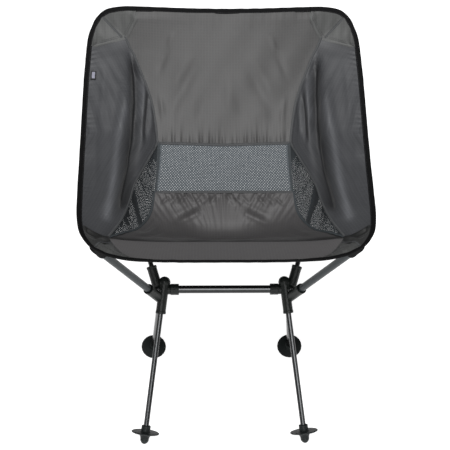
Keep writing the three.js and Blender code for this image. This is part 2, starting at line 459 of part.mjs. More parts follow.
  // back pole: two tubes on one gentle bow with a ferrule between them
  const L = pr.distanceTo(pt);
  const ctrlP = along(pr, pd, L * 0.5);
  const bez = new THREE.QuadraticBezierCurve3(pr, ctrlP, pt);
  const piece = (t0, t1, n) => {
    const c = new THREE.CatmullRomCurve3(Array.from({ length: n + 1 }, (_, i) => bez.getPoint(t0 + ((t1 - t0) * i) / n)), false, 'centripetal');
    return c;
  };
  const ringShape = (ro, ri) => {
    const sh = new THREE.Shape(Array.from({ length: 12 }, (_, i) => new THREE.Vector2(ro * Math.cos((i * Math.PI) / 6), ro * Math.sin((i * Math.PI) / 6))));
    if (ri) sh.holes.push(new THREE.Path(Array.from({ length: 12 }, (_, i) => new THREE.Vector2(ri * Math.cos((-i * Math.PI) / 6), ri * Math.sin((-i * Math.PI) / 6)))));
    return sh;
  };
  const sweep = (ro, ri, t0, t1, steps) => outward(bare(new THREE.ExtrudeGeometry(ringShape(ro, ri), { steps, extrudePath: piece(t0, t1, 12), bevelEnabled: false })));
  const tSeat = POLE_SEAT / L, tEnd = 1 - 3 / L, gap = 0.3 / L;
  add(`back_pole_lower_${side}`, sweep(POLE_R, POLE_R - POLE_WALL, tSeat, POLE_SPLIT - gap, 6), anodised());
  add(`back_pole_upper_${side}`, sweep(POLE_R, POLE_R - POLE_WALL, POLE_SPLIT + gap, tEnd, 6), anodised());
  add(`pole_ferrule_${side}`, sweep(FERRULE_R, FERRULE_R - 0.7, POLE_SPLIT - FERRULE_HALF / L, POLE_SPLIT + FERRULE_HALF / L, 2), steel());
  add(`shock_cord_back_pole_${side}`, sweep(CORD_R, 0, tSeat + 0.5 / L, tEnd - 1 / L, 12), elastic());
  const td = pt.clone().sub(ctrlP).normalize();
  add(`pole_tip_${side}`, turned([[0, -2.6], [POLE_R + CLEAR + 0.15, -2.6], [POLE_R + CLEAR + 0.15, -13], [5.4, -13], [5.4, -3.6], [4.3, -0.9], [2.2, 0.1], [0, 0.3]], pt, td, 16), moulded());
  add(`corner_pocket_top_${side}`, turned(cup(5.85, 6.8, 30, 0.5), pt, td, 16), tape());
}
frameSide('right');
frameSide('left');
add('crossbar', pipe(CROSSBAR_R, CROSSBAR_WALL, new THREE.Vector3(-CROSSBAR_END, HUB[1], HUB[2]), new THREE.Vector3(CROSSBAR_END, HUB[1], HUB[2]), 20), anodised());
add('shock_cord_crossbar', rod(CORD_R, new THREE.Vector3(-CROSSBAR_END - 0.3, HUB[1], HUB[2]), new THREE.Vector3(CROSSBAR_END + 0.3, HUB[1], HUB[2]), 8), elastic());

export default part;
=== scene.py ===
import bpy
import math
import numpy as np
from mathutils import Vector, Matrix

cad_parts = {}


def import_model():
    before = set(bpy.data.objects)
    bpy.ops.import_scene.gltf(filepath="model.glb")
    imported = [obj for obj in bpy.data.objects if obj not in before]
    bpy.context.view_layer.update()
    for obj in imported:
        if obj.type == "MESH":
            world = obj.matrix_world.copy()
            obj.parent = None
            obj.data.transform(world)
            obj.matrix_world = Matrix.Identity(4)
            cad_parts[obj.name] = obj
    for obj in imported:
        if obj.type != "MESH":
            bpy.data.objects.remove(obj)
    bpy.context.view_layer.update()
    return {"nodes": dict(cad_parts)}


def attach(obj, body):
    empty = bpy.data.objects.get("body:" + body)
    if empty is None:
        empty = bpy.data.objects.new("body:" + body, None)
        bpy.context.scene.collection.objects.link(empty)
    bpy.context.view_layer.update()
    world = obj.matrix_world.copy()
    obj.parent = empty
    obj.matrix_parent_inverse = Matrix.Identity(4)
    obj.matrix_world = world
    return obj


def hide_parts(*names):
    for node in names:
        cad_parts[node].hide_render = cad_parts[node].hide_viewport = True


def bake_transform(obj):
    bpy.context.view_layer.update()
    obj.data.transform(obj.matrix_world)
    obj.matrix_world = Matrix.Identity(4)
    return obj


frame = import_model()

# ------------------------------------------------------------------ sling layout
# Millimetres, measured from a plane 2.1 mm under the floor and 26.10 mm in front of the middle,
# as in the solids. X is mirrored for the left side.
CENTRE_Y, GROUND = 26.10, 2.1
TAPE_W, TAPE_GAP = 9.5, 0.0
EDGE = [
    [0, 222, 698.4], [62.7, 223, 699.1], [116.7, 226, 700.3], [156.6, 229.3, 701], [176.3, 231, 700.9], [194.6, 233, 698.9],
    [210, 235, 694.9], [218.8, 235.5, 689.8], [225.3, 235, 684.5], [233.1, 232, 674.2], [240.2, 225, 659.4], [243.5, 217, 650.3],
    [245.6, 200.7, 634.9], [246.6, 180, 615.5], [247.8, 158, 593.9], [248.1, 135, 573], [247.9, 110, 553.1], [247.8, 86, 533.3],
    [247.2, 60, 514.7], [246.7, 33, 496.9], [246.1, 7, 479.3], [245, -25, 464.5], [242.8, -60, 451.7], [240, -98, 441.1],
    [235.1, -132.5, 433.4], [229.9, -156, 429.9], [223.5, -172, 426.9], [215.1, -186, 423.2], [206.4, -191, 417.1], [197, -192, 411.1],
    [185.9, -191, 404.9], [165.9, -188, 397.7], [148, -183.7, 392.4], [116.2, -178, 388.2], [62.2, -172, 384.3], [0, -170, 383.3]]
I_TOP, I_SIDE, I_LOW, I_FRONT = 3, 12, 24, 32
BACK_MID = [[0, 217.8, 689.5], [0, 194, 639.3], [0, 163, 574.3], [0, 134, 518.2], [0, 113, 478.4]]
MESH_MID = [[0, 113, 478.4], [0, 98, 440.4], [0, 83, 400.4]]
SEAT_MID = [[0, 83, 400.4], [0, 68, 368], [0, 57, 349], [0, 45, 338], [0, 30, 333.4], [0, -4, 346], [0, -50, 365.7], [0, -110, 376], [0, -160.1, 382.1]]
TOP_ARC_IN = [[158.5, 219.5, 681.5], [163, 218.5, 673], [169.5, 216.5, 660.5], [177, 215, 648.5]]
TOP_ARC_OUT = [[177, 215, 648.5], [198, 211, 643.5], [219, 206.5, 640.5]]
SEAM_UP = [[177, 215, 648.5], [168.8, 207, 630.7], [161.4, 200, 619.4], [154.9, 192, 605.5], [145.7, 180, 585.3], [137.3, 168, 567.4],
           [128, 151, 540.8], [123.2, 136, 517.6], [120.2, 123, 499.4], [118.1, 111, 482.8]]
SEAM_MESH = [[118.1, 111, 482.8], [120.3, 99, 445.7], [124.8, 83, 400.4]]
SEAM_SEAT = [[124.8, 83, 400.4], [129, 55, 377.3], [137, 26, 370.4], [152, -30, 377], [168.6, -80, 393.7], [189.4, -118, 402.7]]
SEAM_WING = [[118.1, 111, 482.8], [136.3, 70, 460], [154.5, 13, 440.9], [160.5, -25, 427.5], [170.6, -75, 415.5], [189.4, -118, 402.7]]
LOW_ARC_OUT = [[189.4, -118, 402.7], [200.3, -128, 411], [211.5, -130.5, 421.5]]
LOW_ARC_IN = [[189.4, -118, 402.7], [182.5, -130, 397.5], [165.5, -156, 392.5]]
WING_CROWN, WING_CROWN_DIR = 13, np.array([-0.33, -0.72, 0.61])
GUSSET_SAG, TENT = 4, 5.5
ARM_ROOT, ARM_TIP = np.array([112, -3, 231]), np.array([205.8, -170, 410])
POLE_ROOT, POLE_DIR, POLE_TIP = np.array([119.5, 4, 256]), np.array([0.288, 0.468, 0.835]), np.array([210.4, 239.2, 665.7])


def world(p):
    """Sling millimetres to the row frame in metres."""
    q = np.array(p, float)
    q = q - np.array([0, CENTRE_Y, GROUND])
    return q / 1000.0


def norm(v):
    v = np.asarray(v, float)
    return v / np.maximum(1e-12, np.linalg.norm(v, axis=-1, keepdims=True))


# ------------------------------------------------------------------ curves
def catmull(ctrl, t):
    """Centripetal spline through ctrl at t in 0..1, counted by control point."""
    P = np.asarray(ctrl, float)
    n = len(P)
    t = np.atleast_1d(np.clip(t, 0, 1)) * (n - 1)
    i = np.minimum(np.floor(t).astype(int), n - 2)
    w = t - i
    p0 = np.where((i > 0)[:, None], P[np.maximum(i - 1, 0)], 2 * P[0] - P[1])
    p1, p2 = P[i], P[i + 1]
    p3 = np.where((i + 2 < n)[:, None], P[np.minimum(i + 2, n - 1)], 2 * P[n - 1] - P[n - 2])
    d = lambda a, b: np.maximum(1e-9, ((a - b) ** 2).sum(1)) ** 0.25
    d0, d1, d2 = d(p0, p1)[:, None], d(p1, p2)[:, None], d(p2, p3)[:, None]
    t1 = ((p1 - p0) / d0 - (p2 - p0) / (d0 + d1) + (p2 - p1) / d1) * d1
    t2 = ((p2 - p1) / d1 - (p3 - p1) / (d1 + d2) + (p3 - p2) / d2) * d1
    w = w[:, None]
    return p1 + t1 * w + (-3 * p1 + 3 * p2 - 2 * t1 - t2) * w ** 2 + (2 * p1 - 2 * p2 + t1 + t2) * w ** 3


def dense(ctrl, i0=0, i1=None, n=400):
    i1 = len(ctrl) - 1 if i1 is None else i1
    return catmull(ctrl, (i0 + (i1 - i0) * np.linspace(0, 1, n + 1)) / (len(ctrl) - 1))


class ByLength:
    def __init__(self, pts):
        self.p = np.asarray(pts, float)
        self.c = np.concatenate([[0], np.cumsum(np.linalg.norm(np.diff(self.p, axis=0), axis=1))])
        self.length = self.c[-1]

    def __call__(self, s):
        w = np.clip(np.asarray(s, float), 0, 1) * self.length
        return np.stack([np.interp(w, self.c, self.p[:, k]) for k in range(3)], -1)

    def tangent(self, s, e=0.01):
        return norm(self(np.minimum(1, np.asarray(s) + e)) - self(np.maximum(0, np.asarray(s) - e)))


def by_index(ctrl):
    return lambda s: catmull(ctrl, np.asarray(s, float).ravel()).reshape(np.shape(s) + (3,))


def lerp(a, b, k):
    return a + (b - a) * np.asarray(k)[..., None]


edge_run = lambda a, b: ByLength(dense(EDGE, a, b))
top_edge, top_corner, side_edge = edge_run(0, I_TOP), edge_run(I_TOP, I_SIDE), edge_run(I_SIDE, I_LOW)
low_corner, front_edge = edge_run(I_LOW, I_FRONT), edge_run(I_FRONT, len(EDGE) - 1)
M, G = np.array(SEAM_UP[0], float), np.array(SEAM_SEAT[-1], float)
wing_in = ByLength(dense(SEAM_UP + SEAM_WING[1:]))


def square(run, s, d):
    tan = run.tangent(s)
    return norm(d - tan * (d * tan).sum(-1, keepdims=True))


BACK_DOWN, SEAT_BACK = np.array([0, -0.427, -0.904]), np.array([0, 0.985, -0.17])


def w_top(s):
    s = np.asarray(s, float)
    p = top_edge(s)
    k = np.clip((s - 0.75) * 4, 0, 1)
    return square(top_edge, s, lerp(np.broadcast_to(BACK_DOWN, p.shape), norm(M - p), k))


def w_top_corner(s):
    return square(top_corner, s, M - top_corner(s))


def w_side(s):
    s = np.asarray(s, float)
    k = np.minimum(1, np.minimum(s * 8, (1 - s) * 8))[..., None]
    p = side_edge(s)
    near = np.where((s < 0.5)[..., None], M, G)
    return square(side_edge, s, norm(wing_in(s) - p) * k + norm(near - p) * (1 - k))


def w_low_corner(s):
    return square(low_corner, s, G - low_corner(s))


def w_front(s):
    s = np.asarray(s, float)
    p = front_edge(s)
    k = np.clip(s * 4, 0, 1)
    return square(front_edge, s, lerp(norm(G - p), np.broadcast_to(SEAT_BACK, p.shape), k))


IN = TAPE_W - 1.5          # the cloth runs on a little under the tape
inner = lambda run, w: (lambda s: run(s) + w(s) * IN)
top_in, top_corner_in, side_in = inner(top_edge, w_top), inner(top_corner, w_top_corner), inner(side_edge, w_side)
low_corner_in, front_in = inner(low_corner, w_low_corner), inner(front_edge, w_front)
A, B, C, E = top_in(1.0), side_in(0.0), side_in(1.0), front_in(0.0)
back_mid = ByLength(dense([top_in(0.0)] + BACK_MID[1:]))
back_side = ByLength(dense([A] + TOP_ARC_IN + SEAM_UP[1:]))


def back_panel(s, t):
    k = np.abs(t)
    c, r = back_mid(s), back_side(s)
    p = lerp(c, r, k)
    p[..., 1] = c[..., 1] + (r[..., 1] - c[..., 1]) * k * k
    w = np.maximum(0, 1 - s * 6)[..., None] ** 2
    x = p[..., 0].copy()
    p = p + (top_in(k) - lerp(back_mid(0.0), back_side(0.0), k)) * w
    p[..., 0] = x
    p[..., 0] *= np.where(t < 0, -1, 1)
    return p


mesh_mid, mesh_side = by_index(MESH_MID), by_index(SEAM_MESH)


def mesh_panel(s, t):
    k = np.abs(t)
    c, r = mesh_mid(s), mesh_side(s)
    p = lerp(c, r, k)
    p[..., 1] = c[..., 1] + (r[..., 1] - c[..., 1]) * k * k
    p[..., 0] *= np.where(t < 0, -1, 1)
    return p


seat_mid = by_index(SEAT_MID[:-1] + [front_in(1.0)])
seat_side = by_index(SEAM_SEAT + LOW_ARC_IN[1:] + [E])


def seat_panel(s, t):
    k = np.abs(t)
    c, r = seat_mid(s), seat_side(s)
    q = k ** 2.1
    p = np.stack([r[..., 0] * k, c[..., 1] + (r[..., 1] - c[..., 1]) * q, c[..., 2] + (r[..., 2] - c[..., 2]) * q], -1)
    w = np.maximum(0, 1 - (1 - s) * 5) ** 2
    p = lerp(p, front_in(1 - k), w)
    p[..., 0] *= np.where(t < 0, -1, 1)
    return p


gusset_in = ByLength(np.concatenate([dense(SEAM_MESH), dense(SEAM_SEAT)[1:]]))
gusset_out = ByLength(dense(SEAM_WING))


def gusset(s, t):
    p = lerp(gusset_in(s), gusset_out(s), t)
    a = GUSSET_SAG * np.sin(np.pi * s) ** 1.6 * np.sin(np.pi * t)
    return p + np.array([0.75, 0.35, -0.55]) * a[..., None]


top_arc_out = ByLength(dense(TOP_ARC_OUT[:-1] + [B]))
low_arc_out = ByLength(dense(LOW_ARC_OUT[:-1] + [C]))
top_arc_in = ByLength(dense([A] + TOP_ARC_IN))
low_arc_in = ByLength(dense(LOW_ARC_IN + [E]))
CROWN = norm(WING_CROWN_DIR)


def wing(s, t):
    p = lerp(wing_in(s), side_in(s), t)
    a = np.sin(np.pi * np.clip(s, 0, 1)) ** 0.8 * np.sin(np.pi * np.clip(t, 0, 1) ** 0.85)
    p = p + CROWN * (WING_CROWN * a)[..., None]
    top = np.maximum(0, 1 - s * 7)[..., None] ** 2
    low = np.maximum(0, 1 - (1 - s) * 7)[..., None] ** 2
    p = p + (top_arc_out(t) - lerp(wing_in(0.0), side_in(0.0), t)) * top
    p = p + (low_arc_out(t) - lerp(wing_in(1.0), side_in(1.0), t)) * low
    return p


top_arc = ByLength(np.concatenate([dense([A] + TOP_ARC_IN), dense(TOP_ARC_OUT[:-1] + [B])[1:]]))
low_arc = ByLength(np.concatenate([dense(LOW_ARC_OUT[:-1] + [C])[::-1], dense(LOW_ARC_IN + [E])[1:]]))


def top_patch(s, t):
    return lerp(top_arc(s), top_corner_in(s), t)


def low_patch(s, t):
    p = lerp(low_arc(s), low_corner_in(s), t)
    a = TENT * np.sin(np.pi * s) ** 2 * np.sin(np.pi * np.clip(t, 0, 1) ** 1.6) ** 2
    return p + norm(np.array([0.1, -0.2, 0.97])) * a[..., None]


# ------------------------------------------------------------------ small shapes for folds
rng = np.random.default_rng(7)


def smooth_noise(x, wave, seed, power=1.0):
    """Soft random curve of x with about that wavelength, from -1 to 1."""
    r = np.random.default_rng(seed)
    y = np.zeros_like(x, dtype=float)
    for k in range(6):
        f = (0.6 + 0.9 * r.random()) / wave
        y += np.sin(2 * np.pi * (x * f + r.random())) * (0.5 + 0.5 * r.random())
    y /= 2.6
    return np.sign(y) * np.abs(y) ** power


def normals(P):
    a, b = np.gradient(P, axis=0), np.gradient(P, axis=1)
    return norm(np.cross(a, b))


def facing(N, P, towards=(0, -1.0, 0.75)):
    """Turns normals so that they look at the sitter's side."""
    k = np.sign((N * np.array(towards)).sum(-1).mean())
    return N * (1 if k >= 0 else -1)


def fold(U, V, a, b, width, depth, soft=0.5):
    """Depth of one fold in the (U, V) millimetre chart from a to b, tapering to its ends."""
    a, b = np.array(a, float), np.array(b, float)
    d = b - a
    L = np.linalg.norm(d)
    d /= L
    x, y = U - a[0], V - a[1]
    along = (x * d[0] + y * d[1]) / L
    off = x * d[1] - y * d[0]
    taper = np.clip(np.minimum(along, 1 - along) * 2 / soft, 0, 1)
    taper = taper * taper * (3 - 2 * taper) * ((along > 0) & (along < 1))
    return depth * np.exp(-(off / width) ** 2) * taper


PITCH = math.radians(23.5)
CP, SP = math.cos(PITCH), math.sin(PITCH)


def front_chart(P):
    """Where a point is seen from the front at the viewing height: across and down, about 1.7 mm to a unit, with 225 in the middle."""
    x, y, z = P[..., 0] / 1000, P[..., 1] / 1000, P[..., 2] / 1000
    D = 1.8670 + y * CP - z * SP
    return 225 + 1000 * x / D, 225 - 1000 * (y * SP + z * CP - 0.3414) / D


def folds(X, Y, lines):
    """Sum of folds. Each is (points, width, depth, taper at start, taper at end) in front_chart units, depth in millimetres."""
    d = np.zeros_like(X)
    for pts, w, h, ta, tb in lines:
        run = ByLength(catmull([[a, b, 0] for a, b in pts], np.linspace(0, 1, 60)))
        q = run(np.linspace(0, 1, 90))
        best, pos = np.full(X.shape, 1e9), np.zeros(X.shape)
        for k in range(90):
            r = (X - q[k, 0]) ** 2 + (Y - q[k, 1]) ** 2
            m = r < best
            best = np.where(m, r, best)
            pos = np.where(m, k / 89.0, pos)
        a = np.clip(pos / max(1e-3, ta), 0, 1)
        b = np.clip((1 - pos) / max(1e-3, tb), 0, 1)
        a, b = a * a * (3 - 2 * a), b * b * (3 - 2 * b)
        d += h * np.exp(-best / (w * w)) * a * b
    return d


def mirrored(lines, k=1.0):
    return [([(450 - x, y) for x, y in pts], w, h * k, ta, tb) for pts, w, h, ta, tb in lines]


# ------------------------------------------------------------------ meshes
def add_mesh(name, verts, faces, mat, smooth=True, uv=None):
    me = bpy.data.meshes.new(name)
    me.from_pydata([tuple(v) for v in verts], [], [tuple(int(i) for i in f) for f in faces])
    me.update()
    if smooth:
        me.polygons.foreach_set("use_smooth", [True] * len(me.polygons))
    if uv is not None:
        layer = me.uv_layers.new(name="UVMap")
        idx = np.zeros(len(me.loops), np.int32)
        me.loops.foreach_get("vertex_index", idx)
        layer.data.foreach_set("uv", np.asarray(uv, np.float32)[idx].ravel())
    o = bpy.data.objects.new(name, me)
    bpy.context.scene.collection.objects.link(o)
    o.data.materials.append(mat)
    return o


def grid_faces(n, m, off=0, close=False):
    f = []
    for i in range(n - 1):
        for j in range(m - 1 if not close else m):
            k = (j + 1) % m
            f.append((off + i * m + j, off + (i + 1) * m + j, off + (i + 1) * m + k, off + i * m + k))
    return f


def chart(P):
    """Millimetre coordinates along both ways of a grid of points."""
    du = np.linalg.norm(np.diff(P, axis=1), axis=2)
    dv = np.linalg.norm(np.diff(P, axis=0), axis=2)
    U = np.concatenate([np.zeros((P.shape[0], 1)), np.cumsum(du, 1)], 1)
    U -= U[:, P.shape[1] // 2][:, None]
    V = np.concatenate([np.zeros((1, P.shape[1])), np.cumsum(dv, 0)], 0)
    return U, V


def sheet_area(P):
    a = P[1:, :-1] - P[:-1, :-1]
    b = P[:-1, 1:] - P[:-1, :-1]
    return float(np.linalg.norm(np.cross(a, b), axis=2).sum()) * 1e-6


def cloth(name, P, disp, mat, flat_up, uv_mm=None, painted_light_and_tone=None):
    """A sheet from a grid P in sling millimetres, moved by disp along its normals."""
    N = facing(normals(P), P, flat_up)
    Q = P + N * disp[..., None]
    U, V = chart(P) if uv_mm is None else uv_mm
    n, m = P.shape[:2]
    verts = world(Q.reshape(-1, 3))
    f = grid_faces(n, m)
    a = np.cross(Q[1, 0] - Q[0, 0], Q[0, 1] - Q[0, 0])
    if (a * N[0, 0]).sum() < 0:
        f = [q[::-1] for q in f]
    o = add_mesh(name, verts, f, mat, uv=np.stack([U.ravel(), V.ravel()], -1) / 1000.0)
    # painted light and shade, with some random tone, are stored as a colour attribute that the material multiplies its
    # colour by
    if painted_light_and_tone is not None:
        at = o.data.attributes.new("painted_light_and_tone", "FLOAT_COLOR", "POINT")
        at.data.foreach_set("color", np.repeat(np.stack([painted_light_and_tone.ravel()] * 3 + [np.ones(painted_light_and_tone.size)], -1), 1, 0).astype(np.float32).ravel())
    return o, Q, N


def strip(name, pts, side, nrm, width, thick, mat, lift=0.0, round_top=0.35, wave=0.0, seed=3):
    """A sewn band along pts: flat tape of the given width, raised thick above its line."""
    n = len(pts)
    prof = [(-0.5, -0.1), (-0.49, 0.55), (-0.40, 0.95), (-0.2, 1.0), (0.0, 1.0 - round_top * 0.2), (0.2, 1.0), (0.40, 0.95), (0.49, 0.55), (0.5, -0.1)]
    rings = []
    L = np.concatenate([[0], np.cumsum(np.linalg.norm(np.diff(pts, axis=0), axis=1))])
    wob = smooth_noise(L, 22, seed) * wave
    for (u, v) in prof:
        rings.append(pts + side * (u * width) + nrm * ((v * thick + lift)) + nrm * wob[:, None] + side * (wob[:, None] * 0.6))
    R = np.stack(rings, 1)
    verts = world(R.reshape(-1, 3))
    f = grid_faces(n, len(prof), close=True)
    f.append(tuple(range(len(prof)))[::-1])
    f.append(tuple((n - 1) * len(prof) + k for k in range(len(prof))))
    return add_mesh(name, verts, f, mat)


def stitches(name, rows, mat, length=2.6, gap=1.2, width=0.55, height=0.42):
    """Thread stitches: rows is a list of (points, normals) lines in sling millimetres."""
    verts, faces = [], []
    for pts, nrm in rows:
        run = ByLength(pts)
        nr = ByLength.__new__(ByLength)
        nr.p, nr.c, nr.length = np.asarray(nrm, float), run.c, run.length
        count = max(1, int(run.length / (length + gap)))
        s = (np.arange(count) + 0.5) / count
        c, n = run(s), norm(nr(s))
        t = run.tangent(s, 0.5 / max(1, count))
        b = norm(np.cross(n, t))
        n = norm(np.cross(t, b))
        h = length / 2
        for k in range(count):
            o = len(verts)
            for (x, z) in ((-1.0, -0.1), (-0.6, 0.8), (0.0, 1.0), (0.6, 0.8), (1.0, -0.1)):
                w = width / 2 * (0.55 if abs(x) == 1.0 else 1)
                base = c[k] + t[k] * (x * h) + n[k] * (z * height)
                verts.append(base + b[k] * w - n[k] * 0.12)
                verts.append(base + n[k] * 0.05)
                verts.append(base - b[k] * w - n[k] * 0.12)
            for i in range(4):
                a = o + i * 3
                faces += [(a, a + 3, a + 4, a + 1), (a + 1, a + 4, a + 5, a + 2)]
    return add_mesh(name, world(np.array(verts)), faces, mat)


# ------------------------------------------------------------------ materials
def new_mat(name):
    m = bpy.data.materials.new(name)
    m.use_nodes = True
    nt = m.node_tree
    b = nt.nodes["Principled BSDF"]
    return m, nt, b


def link(nt, a, b):
    nt.links.new(a, b)


def math_node(nt, op, a, b=None, clamp=False):
    n = nt.nodes.new("ShaderNodeMath")
    n.operation = op
    n.use_clamp = clamp
    for k, v in enumerate((a, b)):
        if v is None:
            continue
        if isinstance(v, (int, float)):
            n.inputs[k].default_value = v
        else:
            link(nt, v, n.inputs[k])
    return n.outputs[0]


def mix_col(nt, fac, a, b):
    n = nt.nodes.new("ShaderNodeMix")
    n.data_type = "RGBA"
    for v, k in ((fac, 0), (a, 6), (b, 7)):
        if isinstance(v, (int, float)):
            n.inputs[k].default_value = v
        elif isinstance(v, tuple):
            n.inputs[k].default_value = v
        else:
            link(nt, v, n.inputs[k])
    return n.outputs[2]


def cloth_mat(name, base, line, grid_mm=5.2, rough=0.53, multiply_painted_light=False, bump=0.25, tint=0.0):
    """Ripstop: a fine plain weave with a raised, lighter grid of heavier threads."""
    m, nt, b = new_mat(name)
    uv = nt.nodes.new("ShaderNodeUVMap")
    uv.uv_map = "UVMap"
    sep = nt.nodes.new("ShaderNodeSeparateXYZ")
    link(nt, uv.outputs[0], sep.inputs[0])
    u, v = sep.outputs[0], sep.outputs[1]

    def lines(c, period, sharp):
        x = math_node(nt, "MULTIPLY", c, math.pi / (period / 1000))
        x = math_node(nt, "SINE", x)
        x = math_node(nt, "ABSOLUTE", x)
        return math_node(nt, "POWER", x, sharp)

    gu, gv = lines(u, grid_mm, 14), lines(v, grid_mm, 14)
    grid = math_node(nt, "MAXIMUM", gu, math_node(nt, "MULTIPLY", gv, 0.7))
    wu, wv = lines(u, 0.7, 1), lines(v, 0.7, 1)
    weave = math_node(nt, "MULTIPLY", wu, wv)
    noise = nt.nodes.new("ShaderNodeTexNoise")
    noise.inputs["Scale"].default_value = 60
    noise.inputs["Detail"].default_value = 3
    link(nt, uv.outputs[0], noise.inputs["Vector"])
    painted_light_and_tone = math_node(nt, "MULTIPLY", math_node(nt, "SUBTRACT", noise.outputs[0], 0.5), 0.22)
    fac = math_node(nt, "ADD", math_node(nt, "MULTIPLY", grid, 0.30), math_node(nt, "ADD", painted_light_and_tone, 0.12), clamp=True)
    col = mix_col(nt, fac, (*base, 1), (*line, 1))
    # multiplies the weave colour by the painted light and shade held in the colour attribute
    if multiply_painted_light:
        at = nt.nodes.new("ShaderNodeAttribute")
        at.attribute_name = "painted_light_and_tone"
        mul = nt.nodes.new("ShaderNodeMix")
        mul.data_type = "RGBA"
        mul.blend_type = "MULTIPLY"
        mul.inputs[0].default_value = 1.0
        link(nt, col, mul.inputs[6])
        link(nt, at.outputs["Color"], mul.inputs[7])
        col = mul.outputs[2]
    link(nt, col, b.inputs["Base Color"])
    b.inputs["Roughness"].default_value = rough
    b.inputs["Specular IOR Level"].default_value = 0.32
    b.inputs["Sheen Weight"].default_value = 0.08
    b.inputs["Sheen Roughness"].default_value = 0.4
    h = math_node(nt, "ADD", math_node(nt, "MULTIPLY", grid, 0.35), math_node(nt, "MULTIPLY", weave, 0.35))
    bp = nt.nodes.new("ShaderNodeBump")
    bp.inputs["Strength"].default_value = bump
    bp.inputs["Distance"].default_value = 0.0003
    link(nt, h, bp.inputs["Height"])
    link(nt, bp.outputs[0], b.inputs["Normal"])
    return m


def plain_mat(name, base, rough, metal=0.0, noise_scale=0.0, noise_amt=0.0, bump=0.0, spec=0.5, aniso=0.0):
    m, nt, b = new_mat(name)
    b.inputs["Base Color"].default_value = (*base, 1)
    b.inputs["Roughness"].default_value = rough
    b.inputs["Metallic"].default_value = metal
    b.inputs["Specular IOR Level"].default_value = spec
    if noise_scale:
        tc = nt.nodes.new("ShaderNodeTexCoord")
        n = nt.nodes.new("ShaderNodeTexNoise")
        n.inputs["Scale"].default_value = noise_scale
        n.inputs["Detail"].default_value = 4
        link(nt, tc.outputs["Object"], n.inputs["Vector"])
        f = math_node(nt, "MULTIPLY_ADD", n.outputs[0], noise_amt)
        f.node.inputs[2].default_value = 1 - noise_amt / 2
        dark = tuple(c * 0.6 for c in base)
        col = mix_col(nt, n.outputs[0], (*dark, 1), (*[min(1, c * 1.35) for c in base], 1))
        link(nt, col, b.inputs["Base Color"])
        r = math_node(nt, "MULTIPLY", f, rough, clamp=True)
        link(nt, r, b.inputs["Roughness"])
        if bump:
            bp = nt.nodes.new("ShaderNodeBump")
            bp.inputs["Strength"].default_value = bump
            bp.inputs["Distance"].default_value = 0.0002
            link(nt, n.outputs[0], bp.inputs["Height"])
            link(nt, bp.outputs[0], b.inputs["Normal"])
    return m


RIP = cloth_mat("ripstop", (0.045, 0.0443, 0.0440), (0.074, 0.0731, 0.0727))
# The seat, wing and corner patch copies of the ripstop multiply in painted light and shade from the colour attribute.
# The wing copy is also painted darker and bluer than the back, as shade on the wings.
SEAT_MAT_PAINTED_LIGHT = cloth_mat("ripstop_seat_painted_light", (0.047, 0.0448, 0.0455), (0.076, 0.0739, 0.0745), multiply_painted_light=True)
WING_MAT_PAINTED_SHADE = cloth_mat("ripstop_side_painted_shade", (0.036, 0.037, 0.040), (0.062, 0.064, 0.069), multiply_painted_light=True)
PATCH_MAT_PAINTED_SHADE = cloth_mat("ripstop_patch_painted_shade", (0.047, 0.048, 0.047), (0.076, 0.077, 0.076), multiply_painted_light=True)
NET = plain_mat("net_yarn", (0.066, 0.077, 0.086), 0.8, noise_scale=900, noise_amt=0.3)
NET_FINE = plain_mat("net_yarn_fine", (0.028, 0.033, 0.037), 0.8, noise_scale=900, noise_amt=0.3)
TAPE = plain_mat("tape_black", (0.0035, 0.0035, 0.0038), 0.85, noise_scale=1500, noise_amt=0.3, bump=0.5, spec=0.12)
SEAM = plain_mat("seam_cloth", (0.046, 0.048, 0.050), 0.8, noise_scale=900, noise_amt=0.4, bump=0.3)
SEAM_DARK = plain_mat("seam_dark", (0.030, 0.036, 0.040), 0.8, noise_scale=900, noise_amt=0.4, bump=0.3)
THREAD = plain_mat("thread", (0.035, 0.037, 0.038), 0.8)
THREAD_DARK = plain_mat("thread_dark", (0.010, 0.010, 0.011), 0.5)
TUBE = plain_mat("anodised_black", (0.032, 0.033, 0.034), 0.13, metal=0.9, noise_scale=350, noise_amt=0.10, bump=0.08)
ARM = plain_mat("anodised_grey", (0.011, 0.016, 0.0185), 0.42, metal=0.4, noise_scale=350, noise_amt=0.25, bump=0.08)
HUBM = plain_mat("moulded_black", (0.0055, 0.0072, 0.0065), 0.42, noise_scale=1800, noise_amt=0.35, bump=0.35, spec=0.22)
FOOTM = plain_mat("foot_plastic", (0.007, 0.0092, 0.0092), 0.5, noise_scale=1500, noise_amt=0.35, bump=0.3, spec=0.2)
CORD = plain_mat("cord_black", (0.012, 0.012, 0.013), 0.8, noise_scale=2500, noise_amt=0.5, bump=0.6)
STEEL = plain_mat("screw_steel", (0.35, 0.35, 0.36), 0.35, metal=1.0, noise_scale=1200, noise_amt=0.3, bump=0.1)
ALU = plain_mat("ferrule_alu", (0.5, 0.5, 0.51), 0.35, metal=1.0, noise_scale=800, noise_amt=0.3, bump=0.1)

for n, o in frame["nodes"].items():
    m = None
    if n.startswith(("crossbar", "front_leg", "rear_leg", "back_pole")):
        m = TUBE
    elif n.startswith("front_arm"):
        m = ARM
    elif n.startswith("hub_screw"):
        m = STEEL
    elif n.startswith("pole_ferrule"):
        m = ALU
    elif n.startswith(("hub", "arm_tip", "pole_tip")):
        m = HUBM
    elif n.startswith(("front_foot", "rear_foot")):
        m = FOOTM
    elif n.startswith("shock_cord"):
        m = CORD
    if m:
        o.data.materials.clear()
        o.data.materials.append(m)
        # round parts are shaded smooth with crisp edges kept
        me = o.data
        me.polygons.foreach_set("use_smooth", [True] * len(me.polygons))
        if hasattr(me, "set_sharp_from_angle"):
            me.set_sharp_from_angle(angle=math.radians(32))

